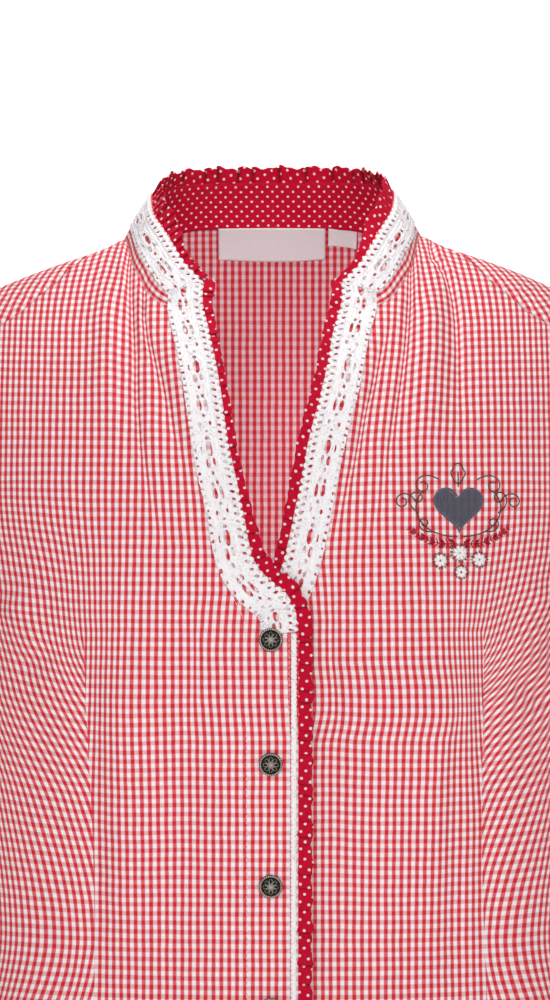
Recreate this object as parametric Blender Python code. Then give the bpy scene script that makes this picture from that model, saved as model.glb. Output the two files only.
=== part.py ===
"""A trachten blouse of checked cotton, worn: two fronts, a back, set-in sleeves, a stand collar,
dotted ruffles, bobbin lace, buttons down the placket and two woven tags inside the neck.

The tables are in millimetres. +Z is up, the fronts face -Y and the wearer's left is +X.
The origin is the middle of the neck at the height of the shoulders, where the wearer holds it.
"""

import math
from collections import namedtuple

import bpy
import numpy as np
from mathutils import Vector
from mathutils.bvhtree import BVHTree

MM = 0.001

# Cloth and seams
CLOTH = 1.2
TRIM_CLOTH = 1.0
SEAM_GAP = 0.3
SHOULDER_SEAM_GAP = 0.0009

# How far a ray is sent to find a surface
FAR = 400.0

# The torso that the cut is made for
UNDERARM_Z = -222.0
HEM_Z = -590.0
RIDGE_Y = 12.0
SHOULDER_HALF_WIDTH = 212.0
FRONT_FALL = 1.3
BACK_FALL = 0.65

# Numbers of grid steps
LOW_ROWS = 10
V_HEIGHTS = (-222, -213, -205, -198, -190, -172, -145, -115, -85, -60)
COLLAR_ROWS = 5
V_ROWS = len(V_HEIGHTS)
FRONT_ROWS = V_ROWS + COLLAR_ROWS
BACK_ROWS = 14
FRONT_COLUMNS = 16
NECK_COLUMNS = 4
SLEEVE_RINGS = 9

# The placket and its overlap
PLACKET_EDGE_X = 15.0
OVERLAP_DIP = 5.6

# Lace, ruffles and trim
LACE_THICKNESS = 0.9
LACE_LIFT = 0.4
LACE_REPEAT = 27.0
LACE_ACROSS = (0.5, 4.8, 9.2, 11.2, 12.4, 14.4, 22.0)
LACE_COLUMNS = (0.30, 0.24, 0.23, 0.23)
LACE_SLOT_ROWS = (2, 4)
RUFFLE_WIDTH = 8.5
COLLAR_RUFFLE_WAVE = 14.0
EDGE_RUFFLE_WAVE = 22.0
RUFFLE_DEPTH = 1.5
WAVE_POINTS = 4
TRIM_WIDTH = 3.6
TRIM_INSET = 0.9
TRIM_TOP_Z = -230.0
TRIM_STEPS = 22

# Woven tags in the back neck: their near and far ends across, their drop and the bow of the lower edge
TAG_THICKNESS = 0.8
TAG_LIFT = 0.5
LABEL_SPAN = (-34.0, 33.0)
LABEL_DROP = 17.0
LABEL_BOW = 2.0
SIZE_TAG_SPAN = (35.0, 53.0)
SIZE_TAG_DROP = 8.5

# Buttons
BUTTON_SEGMENTS = 18
BUTTON_LIFT = 0.6
FIRST_BUTTON_Z = -233.0
BUTTON_SPACING = 72.0
BUTTON_COUNT = 5
BUTTON_X = -1.0

Section = namedtuple("Section", "z half_width front back roundness")
SECTIONS = (
    Section(-590, 204, 117, 104, 0.86),
    Section(-500, 196, 110, 98, 0.86),
    Section(-410, 179, 101, 86, 0.86),
    Section(-330, 182, 112, 92, 0.86),
    Section(-260, 189, 121, 100, 0.84),
    Section(-222, 190, 119, 104, 0.82),
)
SHOULDER_ROUNDNESS = 0.62

Ridge = namedtuple("Ridge", "x front_z back_z")
RIDGE = (
    Ridge(0, 12, 36),
    Ridge(45, 10, 30),
    Ridge(75, 8, 15),
    Ridge(91, 5, 5),
    Ridge(104, -1, -1),
    Ridge(130, -10, -10),
    Ridge(165, -23, -23),
    Ridge(200, -36, -36),
    Ridge(216, -44, -44),
)

Edge = namedtuple("Edge", "x z")
RIGHT_EDGE = (
    Edge(15, -590),
    Edge(15, -232),
    Edge(14, -220),
    Edge(8, -206),
    Edge(-4, -196),
    Edge(-11, -186),
    Edge(-18, -153),
    Edge(-25, -122),
    Edge(-32, -78),
    Edge(-38.5, -48),
    Edge(-41, -38.5),
    Edge(-62, -37),
    Edge(-76, -28),
    Edge(-85, -12),
    Edge(-91, 5),
)
LEFT_EDGE = (
    Edge(-13, -590),
    Edge(-13, -236),
    Edge(-9, -218),
    Edge(0, -203),
    Edge(6, -188),
    Edge(14, -153),
    Edge(20, -122),
    Edge(31, -78),
    Edge(37, -48),
    Edge(40, -38.5),
    Edge(61, -37),
    Edge(75, -28),
    Edge(85, -12),
    Edge(91, 5),
)
COLLAR_END = 4

BACK_NECK = (Edge(0, 17), Edge(33, 16.5), Edge(62, 13.5), Edge(80, 9), Edge(91, 5))
FRONT_ARMHOLE = (
    Edge(190, -222),
    Edge(183, -208),
    Edge(175, -180),
    Edge(172, -145),
    Edge(178, -105),
    Edge(189, -68),
)
BACK_ARMHOLE = (
    Edge(190, -222),
    Edge(185, -206),
    Edge(179, -175),
    Edge(178, -135),
    Edge(186, -85),
    Edge(200, -36),
)

# How far round the shoulder the seam lies: 1 is the ridge, less is on the front
SEAM_TURN = 0.35

CollarTop = namedtuple("CollarTop", "share x y z")
COLLAR_TOP = (
    CollarTop(0.00, 0, 57, 44),
    CollarTop(0.16, 36, 52, 43),
    CollarTop(0.33, 63, 33, 38),
    CollarTop(0.48, 73, 8, 30),
    CollarTop(0.62, 71, -14, 20),
    CollarTop(0.77, 62, -34, 5),
    CollarTop(0.90, 51, -46, -12),
    CollarTop(1.00, 41, -47, -22),
)

SleeveRing = namedtuple("SleeveRing", "under_x under_z top_x top_z half_depth middle_y")
SLEEVE = (
    SleeveRing(191.7, -224.6, 213, -39, 58, 6),
    SleeveRing(193.0, -227, 231, -46, 60, 6),
    SleeveRing(196.5, -235, 256, -73, 63, 5),
    SleeveRing(201.5, -247, 272, -114, 62, 4),
    SleeveRing(208.5, -265, 284, -162, 59, 2),
    SleeveRing(215.5, -289, 295, -210, 56, 0),
    SleeveRing(224.0, -321, 310, -268, 54, -3),
    SleeveRing(234.0, -356, 326, -321, 53, -6),
)

# Soft folds: a negative depth is a trough. The side is -1 for the wearer's right.
Fold = namedtuple("Fold", "top_x top_z bottom_x bottom_z depth half_width")
FRONT_FOLDS = (
    Fold(-85, -12, -80, -150, -3.0, 7),
    Fold(-77, -40, -46, -150, -3.2, 8),
    Fold(-62, -50, -40, -160, 2.0, 9),
    Fold(-98, -12, -100, -120, 2.2, 9),
    Fold(84, -12, 72, -150, -3.6, 7),
    Fold(74, -40, 40, -160, -3.2, 8),
    Fold(95, -15, 88, -150, 2.4, 9),
    Fold(108, -12, 112, -120, -2.2, 8),
    Fold(-104, -214, -103, -480, -3.0, 9),
    Fold(121, -214, 128, -480, -3.0, 9),
    Fold(-86, -230, -84, -460, 2.5, 16),
    Fold(100, -230, 98, -440, 2.5, 15),
    Fold(106, -262, 108, -480, -3.0, 8),
    Fold(-50, -210, -52, -420, -2.2, 12),
    Fold(35, -200, 36, -430, -2.2, 10),
    Fold(-150, -252, -120, -238, -3.0, 8),
    Fold(164, -275, 134, -250, -3.0, 8),
    Fold(-160, -205, -118, -262, 4.0, 13),
    Fold(168, -200, 132, -262, 4.0, 13),
)
BACK_FOLDS = (
    Fold(-60, -250, -70, -560, -4.0, 14),
    Fold(58, -240, 72, -560, -4.0, 14),
    Fold(-8, -300, -6, -570, 3.0, 20),
    Fold(-120, -60, -70, -200, -3.0, 12),
    Fold(118, -60, 72, -205, -3.0, 12),
)

ButtonRing = namedtuple("ButtonRing", "radius height")
BUTTON_PROFILE = (
    ButtonRing(0, 0.0),
    ButtonRing(6.4, 0.3),
    ButtonRing(6.9, 1.6),
    ButtonRing(5.8, 2.4),
    ButtonRing(4.8, 1.9),
    ButtonRing(0, 3.6),
)

Bust = namedtuple("Bust", "x z depth half_width half_height")
BUST = (Bust(-92, -252, 7, 58, 66), Bust(92, -252, 7, 58, 66))


def clear_scene():
    """Removes whatever the scene holds."""
    for obj in list(bpy.data.objects):
        bpy.data.objects.remove(obj, do_unlink=True)


def column(table, name):
    """One named column of a table, as an array."""
    return np.array([getattr(row, name) for row in table], float)


def through(at, xs, ys):
    """A smooth curve through the points (xs, ys), read at the places in at. Slopes that would
    overshoot a turning point are level there."""
    at = np.clip(np.asarray(at, float), xs[0], xs[-1])
    step = np.diff(xs)
    rise = np.diff(ys) / step
    slope = np.zeros(len(xs))
    slope[0], slope[-1] = rise[0], rise[-1]
    same_way = rise[:-1] * rise[1:] > 0
    weight_a, weight_b = 2 * step[1:] + step[:-1], step[1:] + 2 * step[:-1]
    safe = np.where(same_way, rise[:-1] * weight_b + rise[1:] * weight_a, 1.0)
    inner = (weight_a + weight_b) * rise[:-1] * rise[1:] / safe
    slope[1:-1] = np.where(same_way, inner, 0.0)
    i = np.clip(np.searchsorted(xs, at, side="right") - 1, 0, len(step) - 1)
    t = (at - xs[i]) / step[i]
    h = step[i]
    return (
        ys[i] * (1 + 2 * t) * (1 - t) ** 2
        + ys[i + 1] * t * t * (3 - 2 * t)
        + h * slope[i] * t * (1 - t) ** 2
        + h * slope[i + 1] * t * t * (t - 1)
    )


def eased(value):
    """0 to 1 with level ends."""
    value = np.clip(value, 0.0, 1.0)
    return value * value * (3 - 2 * value)


def ridge_height(x, on_back):
    """The height of the shoulder ridge at x, or of the line that the back neck would reach."""
    xs = column(RIDGE, "x")
    front = through(np.abs(x), xs, column(RIDGE, "front_z"))
    back = through(np.abs(x), xs, column(RIDGE, "back_z"))
    return np.where(on_back, back, front)


def half_width_at(level):
    """Half the torso's width. A level below 0 is millimetres under the underarm, and from 0 to 1
    it rises to the shoulder ridge."""
    z = UNDERARM_Z + np.minimum(level, 0)
    low = through(z, column(SECTIONS, "z"), column(SECTIONS, "half_width"))
    top = SHOULDER_HALF_WIDTH - SECTIONS[-1].half_width
    return low + top * eased(level)


def torso(angle, level):
    """Points of the torso. angle is 0 at the centre front and 180 degrees at the centre back,
    negative on the wearer's right. A level over 1 has passed the ridge, onto the other face."""
    angle, level = np.broadcast_arrays(np.asarray(angle, float), np.asarray(level, float))
    over = level > 1
    angle = np.where(over, np.sign(angle) * 180 - angle, angle)
    level = np.where(over, 2 - level, level)
    turn = np.radians(angle)
    cosine = np.cos(turn)
    on_back = cosine < 0
    z_low = UNDERARM_Z + np.minimum(level, 0)
    zs = column(SECTIONS, "z")
    depth = np.where(
        on_back,
        through(z_low, zs, column(SECTIONS, "back")),
        -through(z_low, zs, column(SECTIONS, "front")),
    )
    up = np.clip(level, 0, 1)
    roundness = through(z_low, zs, column(SECTIONS, "roundness"))
    roundness = roundness + (SHOULDER_ROUNDNESS - roundness) * eased(up * 1.5)
    x = half_width_at(level) * np.sin(turn)
    y = depth * np.maximum(np.abs(cosine), 1e-9) ** roundness
    rise = np.sin(up * math.pi / 2)
    fall = np.maximum(np.cos(up * math.pi / 2), 0) ** np.where(on_back, BACK_FALL, FRONT_FALL)
    y = np.where(up > 0, RIDGE_Y * (1 - fall) + y * fall, y)
    z = np.where(up > 0, UNDERARM_Z + (ridge_height(x, on_back) - UNDERARM_Z) * rise, z_low)
    return np.stack([x, y, z], axis=-1)


def torso_normal(angle, level):
    """The direction out of the torso, from small steps to each side."""
    angle, level = np.broadcast_arrays(np.asarray(angle, float), np.asarray(level, float))
    step = np.where(level < 0, 2.0, 0.008)
    across = torso(angle + 0.6, level) - torso(angle - 0.6, level)
    up = torso(angle, level + step) - torso(angle, level - step)
    normal = np.cross(across, up)
    return normal / np.maximum(np.linalg.norm(normal, axis=-1, keepdims=True), 1e-9)


def fold_relief(x, z, folds):
    """The height of the soft folds at (x, z): each is a rounded ridge or trough on a straight line,
    fading towards its ends."""
    total = np.zeros(np.shape(x))
    for fold in folds:
        run = np.array([fold.bottom_x - fold.top_x, fold.bottom_z - fold.top_z])
        length = np.hypot(*run)
        along = ((x - fold.top_x) * run[0] + (z - fold.top_z) * run[1]) / length
        aside = ((x - fold.top_x) * run[1] - (z - fold.top_z) * run[0]) / length
        share = along / length
        fade = eased(share / 0.25) * eased((1 - share) / 0.45)
        total = total + fold.depth * fade * np.exp(-((aside / fold.half_width) ** 2))
    return total


def relief(points, on_front, left_front):
    """How far the cloth stands off the torso at these points."""
    x, z = points[..., 0], points[..., 2]
    if not on_front:
        return fold_relief(x, z, BACK_FOLDS)
    height = fold_relief(x, z, FRONT_FOLDS)
    for bust in BUST:
        height = height + bust.depth * np.exp(
            -(((x - bust.x) / bust.half_width) ** 2) - ((z - bust.z) / bust.half_height) ** 2
        )
    if left_front:
        height = height - OVERLAP_DIP * eased((70 - x) / 42) * eased((-105 - z) / 70)
    return height


def cloth(angle, level, seam_fade, on_front=True, left_front=False):
    """Points of the cloth's outer face, and the directions out of it. seam_fade is 0 where the
    relief has to die out at the shoulder seam."""
    base = torso(angle, level)
    normal = torso_normal(angle, level)
    fade = seam_fade * eased((90 - np.abs(np.abs(angle) - (0 if on_front else 180))) / 14)
    height = relief(base, on_front, left_front) * fade
    return base + normal * height[..., None], normal


def level_of(x, z, on_back=False):
    """The level of the torso point at (x, z)."""
    if z <= UNDERARM_Z:
        return z - UNDERARM_Z
    rise = (z - UNDERARM_Z) / (float(ridge_height(x, on_back)) - UNDERARM_Z)
    return math.asin(min(rise, 1.0)) * 2 / math.pi


def angle_of(x, level):
    """The angle of the torso's front point at x."""
    return np.degrees(np.arcsin(np.clip(x / half_width_at(level), -1, 1)))


def edge_curve(table, on_back=False):
    """A table of edge points as two arrays, (levels, places across)."""
    levels = [level_of(row.x, row.z, on_back) for row in table]
    return np.array(levels), column(table, "x")


def front_edge(table, at):
    """The angle of a front's inner edge at each level: down the placket, up the V neck and
    round the collar seam. The collar seam dips a little, so it is read by its own share."""
    split = len(table) - COLLAR_END
    levels, xs = edge_curve(table[:split])
    seam_levels, seam_xs = edge_curve(table[split - 1 :])
    seam_levels = np.linspace(seam_levels[0], 1.0, len(seam_levels))
    low = through(at, levels, xs)
    high = through(at, seam_levels, seam_xs)
    return angle_of(np.where(np.asarray(at) < levels[-1], low, high), at)


def upper_rows(table):
    """The rows above the underarm, from 0 to 1, with one of them at the corner where the V neck
    meets the collar."""
    corner = edge_curve(table)[0][-COLLAR_END - 1]
    up_the_neck = [level_of(0, z) for z in V_HEIGHTS]
    return np.append(up_the_neck, np.linspace(corner, 1, COLLAR_ROWS + 1))


def seam_lift(table, at):
    """How much higher or lower the true collar seam is than its even rows, as a level."""
    split = len(table) - COLLAR_END
    true_levels, _ = edge_curve(table[split - 1 :])
    even = np.linspace(true_levels[0], 1.0, len(true_levels))
    lift = through(at, even, true_levels - even)
    return np.where(np.asarray(at) < even[0], 0.0, lift)


def wall(name, outer, inner, material, keep=None, ring=False):
    """One closed wall between an outer and an inner grid of points. keep marks the cells that are
    there, and ring joins the last column to the first."""
    rows, columns = outer.shape[:2]
    cell_columns = columns if ring else columns - 1
    if keep is None:
        keep = np.ones((rows - 1, cell_columns), bool)
    count = rows * columns

    def corner(i, j, side):
        return side * count + i * columns + j % columns

    def there(i, j):
        if ring:
            j %= cell_columns
        return 0 <= i < rows - 1 and 0 <= j < cell_columns and keep[i, j]

    faces = []
    for i in range(rows - 1):
        for j in range(cell_columns):
            if not keep[i, j]:
                continue
            around = ((i, j), (i, j + 1), (i + 1, j + 1), (i + 1, j))
            faces.append([corner(*place, 0) for place in around])
            faces.append([corner(*place, 1) for place in around[:1] + around[:0:-1]])
            rims = (
                (not there(i - 1, j), (i, j), (i, j + 1)),
                (not there(i + 1, j), (i + 1, j + 1), (i + 1, j)),
                (not there(i, j - 1), (i + 1, j), (i, j)),
                (not there(i, j + 1), (i, j + 1), (i + 1, j + 1)),
            )
            for is_rim, a, b in rims:
                if is_rim:
                    faces.append([corner(*b, 0), corner(*a, 0), corner(*a, 1), corner(*b, 1)])
    points = np.concatenate([outer.reshape(-1, 3), inner.reshape(-1, 3)])
    return solid(name, points, faces, material)


def solid(name, points, faces, material):
    """A mesh object from millimetre points, with the faces turned outwards."""
    used = sorted({i for face in faces for i in face})
    place = {old: new for new, old in enumerate(used)}
    mesh = bpy.data.meshes.new(name)
    mesh.from_pydata(
        [tuple(float(c) * MM for c in points[i]) for i in used],
        [],
        [[place[i] for i in face] for face in faces],
    )
    mesh.validate()
    volume = 0.0
    for polygon in mesh.polygons:
        corners = [mesh.vertices[i].co for i in polygon.vertices]
        for a, b in zip(corners[1:], corners[2:]):
            volume += corners[0].dot(a.cross(b))
    if volume < 0:
        mesh.flip_normals()
    mesh.materials.append(material)
    mesh.shade_smooth()
    mesh.set_sharp_from_angle(angle=math.radians(40))
    obj = bpy.data.objects.new(name, mesh)
    bpy.context.scene.collection.objects.link(obj)
    return obj


def material(name, colour, roughness=0.8, metallic=0.0):
    """A plain finish."""
    made = bpy.data.materials.new(name)
    made.use_nodes = True
    shader = made.node_tree.nodes["Principled BSDF"]
    shader.inputs["Base Color"].default_value = (*colour, 1)
    shader.inputs["Roughness"].default_value = roughness
    shader.inputs["Metallic"].default_value = metallic
    return made


def grid_normals(grid, towards):
    """Directions square to a grid of points, on the side that towards points to."""
    across = np.gradient(grid, axis=1)
    up = np.gradient(grid, axis=0)
    normal = np.cross(across, up)
    normal /= np.maximum(np.linalg.norm(normal, axis=-1, keepdims=True), 1e-9)
    if (normal * towards).sum() < 0:
        normal = -normal
    return normal


def low_levels():
    """The levels of the rows from the hem up to the underarm."""
    return np.linspace(HEM_Z - UNDERARM_Z, 0, LOW_ROWS + 1)[:-1]


def seam_top(share):
    """The level where the shoulder seam lies, from the neck at share 0 to the armhole at 1."""
    return 1 - SEAM_TURN * eased((share - 0.3) / 0.7)


def armhole_angle(table, at):
    """The angle of an armhole edge at each level on its own face."""
    levels, xs = edge_curve(table)
    return angle_of(through(at, levels, xs), at)


def front_grid(side):
    """The outer face of one front, as rows from the hem to the shoulder and columns from the inner
    edge to the side seam and armhole."""
    table = RIGHT_EDGE if side < 0 else LEFT_EDGE
    sign = side
    levels, angles, fades = [], [], []
    shares = np.linspace(0, 1, FRONT_COLUMNS + 1)
    for level in low_levels():
        inner = float(front_edge(table, level))
        seam = sign * (90 - math.degrees(SEAM_GAP / 2 / float(half_width_at(level))))
        angles.append(inner + (seam - inner) * shares)
        levels.append(np.full_like(shares, level))
        fades.append(np.ones_like(shares))
    for part in upper_rows(table):
        inner = float(front_edge(table, part))
        edge_level = part * float(seam_top(1.0))
        outer = sign * float(armhole_angle(FRONT_ARMHOLE, edge_level))
        row_levels = part * seam_top(shares)
        row_levels = row_levels + float(seam_lift(table, part)) * (1 - eased(shares / 0.5))
        if part == 0:
            outer = sign * (90 - math.degrees(SEAM_GAP / 2 / float(half_width_at(0))))
        if part == 1:
            row_levels = row_levels - SHOULDER_SEAM_GAP
        angles.append(inner + (outer - inner) * shares)
        levels.append(row_levels)
        fades.append(eased((seam_top(shares) - row_levels) / 0.12))
    return cloth(np.array(angles), np.array(levels), np.array(fades), True, side > 0)


def straighten_odd(row):
    """Moves every second point of a row onto the straight line between its neighbours, so that a
    piece with half as many points meets it all along."""
    row[1:-1:2] = (row[:-2:2] + row[2::2]) / 2


def back_grid():
    """The outer face of the back, from the wearer's right side to the left."""
    neck_levels, neck_xs = edge_curve(BACK_NECK, True)
    neck_angles = angle_of(neck_xs, neck_levels)
    neck = np.linspace(0, 1, NECK_COLUMNS + 1)[:-1]
    neck_along = np.linspace(0, 1, len(BACK_NECK))
    neck_top_angle = 180 - through(neck, neck_along, neck_angles)
    neck_top_level = through(neck, neck_along, neck_levels)
    shoulder = np.linspace(0, 1, FRONT_COLUMNS // 2 + 1)
    inner = float(angle_of(BACK_NECK[-1].x, 1.0))
    outer = float(armhole_angle(FRONT_ARMHOLE, float(seam_top(1.0))))
    top_angle = np.concatenate([neck_top_angle, 180 - (inner + (outer - inner) * shoulder)])
    top_level = np.concatenate([neck_top_level, 2 - seam_top(shoulder) - SHOULDER_SEAM_GAP])
    turned = 180 - top_angle
    top_share = turned / turned[-1]
    even = np.linspace(0, 1, len(top_share))
    levels, angles = [], []
    for level in low_levels():
        seam = 90 - math.degrees(SEAM_GAP / 2 / float(half_width_at(level)))
        angles.append(180 - seam * even)
        levels.append(np.full_like(even, level))
    over = 2 - float(seam_top(1.0))
    back_levels, back_xs = edge_curve(BACK_ARMHOLE)
    edge_levels = np.append(back_levels, over)
    edge_angles = np.append(angle_of(back_xs, back_levels), outer)
    for part in np.linspace(0, 1, BACK_ROWS + 1):
        edge = float(through(part * over, edge_levels, edge_angles))
        if part == 0:
            edge = 90 - math.degrees(SEAM_GAP / 2 / float(half_width_at(0)))
        share = even + (top_share - even) * part
        angles.append(180 - edge * share)
        levels.append(part * top_level)
    angles, levels = np.array(angles), np.array(levels)
    mirrored = np.concatenate([-angles[:, :0:-1], angles], axis=1)
    both = np.concatenate([levels[:, :0:-1], levels], axis=1)
    return cloth(mirrored, both, eased((1 - both) / 0.2), False)


def collar_grids(right_front, left_front, back):
    """The collar's outer face, from its right front end round the back to the left one, as rows
    from the seam to the top edge. It starts from the panels' own neck edges."""
    first = LOW_ROWS
    right = right_front[first:, 0]
    left = left_front[first:, 0]
    start = V_ROWS
    middle = back.shape[1] // 2
    neck = back[-1, middle - NECK_COLUMNS : middle + NECK_COLUMNS + 1]
    base = np.concatenate([right[start:-1], neck, left[start:-1][::-1]])
    half_length = polyline_shares(base)
    share = np.abs(half_length - 0.5) * 2
    sign = np.where(half_length < 0.5, -1, 1)
    shares = column(COLLAR_TOP, "share")
    top = np.stack([through(share, shares, column(COLLAR_TOP, c)) for c in "xyz"], axis=-1)
    top[:, 0] *= sign
    up = top - base
    up /= np.linalg.norm(up, axis=-1, keepdims=True)
    base = base + up * SEAM_GAP * 1.6
    out = np.stack([base[:, 0], base[:, 1] - 5, np.zeros(len(base))], axis=-1)
    out /= np.linalg.norm(out, axis=-1, keepdims=True)
    middle_line = (base + top) / 2 + out * 1.2
    return np.stack([base, middle_line, top])


def polyline_shares(points):
    """How far along a line each of its points is, from 0 to 1."""
    steps = np.linalg.norm(np.diff(points, axis=0), axis=1)
    return np.concatenate([[0], np.cumsum(steps)]) / steps.sum()


def line_length(points):
    return float(np.linalg.norm(np.diff(points, axis=0), axis=1).sum())


def inside(outer, normal, thickness):
    """The inner face of a wall."""
    return outer - normal * thickness


def sleeve_grid(front, front_normal, back, back_normal):
    """A sleeve's outer and inner faces as rings of points, from the armhole to the cuff. Each ring
    runs from the underarm up the front, over the top and down the back."""
    first = LOW_ROWS
    edge = np.concatenate([front[first:], back[first:-1][::-1][:-1]])
    normal = np.concatenate([front_normal[first:], back_normal[first:-1][::-1][:-1]])
    edge[0] = (front[first] + back[first]) / 2
    top = FRONT_ROWS
    edge[top] = (front[-1] + back[-1]) / 2
    sign = np.sign(edge[:, 0].mean())
    share = polyline_shares(np.concatenate([edge, edge[:1]]))
    turn = np.interp(share[:-1], (0, share[np.argmax(edge[:, 2])], 1), (0, np.pi, 2 * np.pi))
    rings = [None]
    shares = np.linspace(0, len(SLEEVE) - 1, SLEEVE_RINGS)
    index = np.arange(len(SLEEVE))
    for share in shares:
        ring = SleeveRing(*(float(through(share, index, column(SLEEVE, c))) for c in SleeveRing._fields))
        middle = np.array([(ring.under_x + ring.top_x) / 2, (ring.under_z + ring.top_z) / 2])
        half = np.array([ring.top_x - ring.under_x, ring.top_z - ring.under_z]) / 2
        across = middle + half * -np.cos(turn)[:, None]
        y = ring.middle_y - ring.half_depth * np.sin(turn)
        rings.append(np.stack([sign * across[:, 0], y, across[:, 1]], axis=-1))
    along = rings[1] - edge
    along /= np.linalg.norm(along, axis=1, keepdims=True)
    lap = along + normal
    lap /= np.linalg.norm(lap, axis=1, keepdims=True)
    rings[0] = edge + lap * SEAM_GAP * 1.6
    outer = np.array(rings)
    centre = outer.mean(axis=1, keepdims=True)
    down = np.gradient(outer, axis=0)
    around = np.roll(outer, -1, axis=1) - np.roll(outer, 1, axis=1)
    out = np.cross(down, around)
    out /= np.linalg.norm(out, axis=-1, keepdims=True)
    if (out * (outer - centre)).sum() < 0:
        out = -out
    return outer, inside(outer, out, CLOTH)


def outer_sheets(grids):
    """A tree for finding the nearest place on several grids of points."""
    points, faces = [], []
    for grid in grids:
        rows, columns = grid.shape[:2]
        start = len(points)
        points.extend(Vector(p) for p in grid.reshape(-1, 3))
        for i in range(rows - 1):
            for j in range(columns - 1):
                a = start + i * columns + j
                faces.append((a, a + 1, a + columns + 1))
                faces.append((a, a + columns + 1, a + columns))
    return BVHTree.FromPolygons(points, faces)


def seated(grid, normal, sheets, lift):
    """The grid moved along its normals until it clears the sheets by lift, at its points and at
    the middles between them."""
    for _ in range(3):
        rows, columns = grid.shape[:2]
        need = np.zeros((rows, columns))
        weights = ((1, 0, 0, 0), (0.5, 0.5, 0, 0), (0.5, 0, 0.5, 0), (0.25, 0.25, 0.25, 0.25))
        for i in range(rows):
            for j in range(columns):
                near = [(i, j), (i, min(j + 1, columns - 1)), (min(i + 1, rows - 1), j)]
                near.append((near[2][0], near[1][1]))
                for weight in weights:
                    place = sum(w * grid[a] for w, a in zip(weight, near))
                    out = Vector(sum(w * normal[a] for w, a in zip(weight, near))).normalized()
                    hit = sheets.ray_cast(Vector(place) + out * 12, -out, 30)
                    if hit[0] is None:
                        continue
                    short = lift - (Vector(place) - hit[0]).dot(out)
                    for w, a in zip(weight, near):
                        if w:
                            need[a] = max(need[a], short)
        grid = grid + normal * need[..., None]
    return grid


def frames(line, normal, towards):
    """For each point of a line on a surface: the direction across it that points towards."""
    tangent = np.gradient(line, axis=0)
    tangent /= np.linalg.norm(tangent, axis=1, keepdims=True)
    across = np.cross(normal, tangent)
    across /= np.linalg.norm(across, axis=1, keepdims=True)
    return across * np.sign((across * towards).sum(axis=1, keepdims=True))


def smoothed(values, times):
    """A line of vectors with each replaced by a mean of itself and its neighbours."""
    for _ in range(times):
        padded = np.concatenate([values[:1], values, values[-1:]])
        values = (padded[:-2] + 2 * padded[1:-1] + padded[2:]) / 4
    return values


def ruffle(name, line, normal, aim, wave, finish):
    """A gathered strip that stands on from an edge. line is the edge, normal points out of the
    cloth and aim points roughly on past the edge."""
    length = line_length(line)
    waves = max(2, round(length / wave))
    count = waves * WAVE_POINTS + 1
    share = polyline_shares(line)
    at = np.linspace(0, 1, count)

    def read(values):
        return np.stack([np.interp(at, share, values[:, k]) for k in range(3)], axis=-1)

    root, out = read(line), smoothed(read(normal), 2)
    out /= np.linalg.norm(out, axis=1, keepdims=True)
    on = smoothed(frames(root, out, read(aim)), 1)
    on /= np.linalg.norm(on, axis=1, keepdims=True)
    ends = eased(at * count / 6) * eased((1 - at) * count / 6)
    swing = np.sin(at * waves * 2 * np.pi) * RUFFLE_DEPTH * ends
    width = RUFFLE_WIDTH * (0.93 + 0.07 * np.cos(at * waves * 1.31 * np.pi))
    rows = []
    for part in (0.0, 0.5, 1.0):
        step = SEAM_GAP * 2 + width * part
        rows.append(root + on * step[:, None] + out * (swing * part - CLOTH / 2)[:, None])
    middle = np.array(rows)
    face = grid_normals(middle, np.broadcast_to(out, middle.shape))
    half = TRIM_CLOTH / 2
    return wall(name, middle + face * half, middle - face * half, finish)


def lace(name, line, normal, aim, sheets, finish):
    """A band of lace on the cloth from its edge inwards, with a pair of slots in each repeat."""
    length = line_length(line)
    repeats = round(length / LACE_REPEAT)
    steps = np.concatenate([[0], np.cumsum(LACE_COLUMNS * repeats)]) / repeats
    share = polyline_shares(line)

    def read(values):
        return np.stack([np.interp(steps, share, values[:, k]) for k in range(3)], axis=-1)

    edge, out = read(line), smoothed(read(normal), 4)
    out /= np.linalg.norm(out, axis=1, keepdims=True)
    across = smoothed(frames(edge, out, read(aim)), 5)
    across /= np.linalg.norm(across, axis=1, keepdims=True)
    grid = np.array([edge + across * width for width in LACE_ACROSS])
    out = np.broadcast_to(out, grid.shape).copy()
    for i in range(grid.shape[0]):
        for j in range(grid.shape[1]):
            near = sheets.find_nearest(Vector(grid[i, j]))
            grid[i, j] = near[0]
    out = (out + grid_normals(grid, out)) / 2
    out /= np.linalg.norm(out, axis=-1, keepdims=True)
    grid = seated(grid + out * LACE_LIFT, out, sheets, LACE_LIFT)
    keep = np.ones((grid.shape[0] - 1, grid.shape[1] - 1), bool)
    for row in LACE_SLOT_ROWS:
        keep[row, 0 :: len(LACE_COLUMNS)] = False
    keep[:, 0] = True
    return wall(name, grid + out * LACE_THICKNESS, grid, finish, keep)


def button(name, centre, out, finish):
    """A domed button with a raised rim, turned about its middle."""
    segments = BUTTON_SEGMENTS
    across = np.cross(out, (0, 0, 1))
    across /= np.linalg.norm(across)
    up = np.cross(across, out)
    turn = np.arange(segments) * 2 * np.pi / segments
    points, faces = [centre + out * BUTTON_PROFILE[0].height], []
    for radius, height in BUTTON_PROFILE[1:-1]:
        ring = np.cos(turn)[:, None] * across + np.sin(turn)[:, None] * up
        points.extend(centre + ring * radius + out * height)
    points.append(centre + out * BUTTON_PROFILE[-1].height)
    for k in range(segments):
        after = (k + 1) % segments
        faces.append([0, 1 + after, 1 + k])
        for ring in range(len(BUTTON_PROFILE) - 3):
            low, high = 1 + ring * segments, 1 + (ring + 1) * segments
            faces.append([low + k, low + after, high + after, high + k])
        last = 1 + (len(BUTTON_PROFILE) - 3) * segments
        faces.append([last + k, last + after, len(points) - 1])
    return solid(name, np.array(points), faces, finish)


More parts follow.
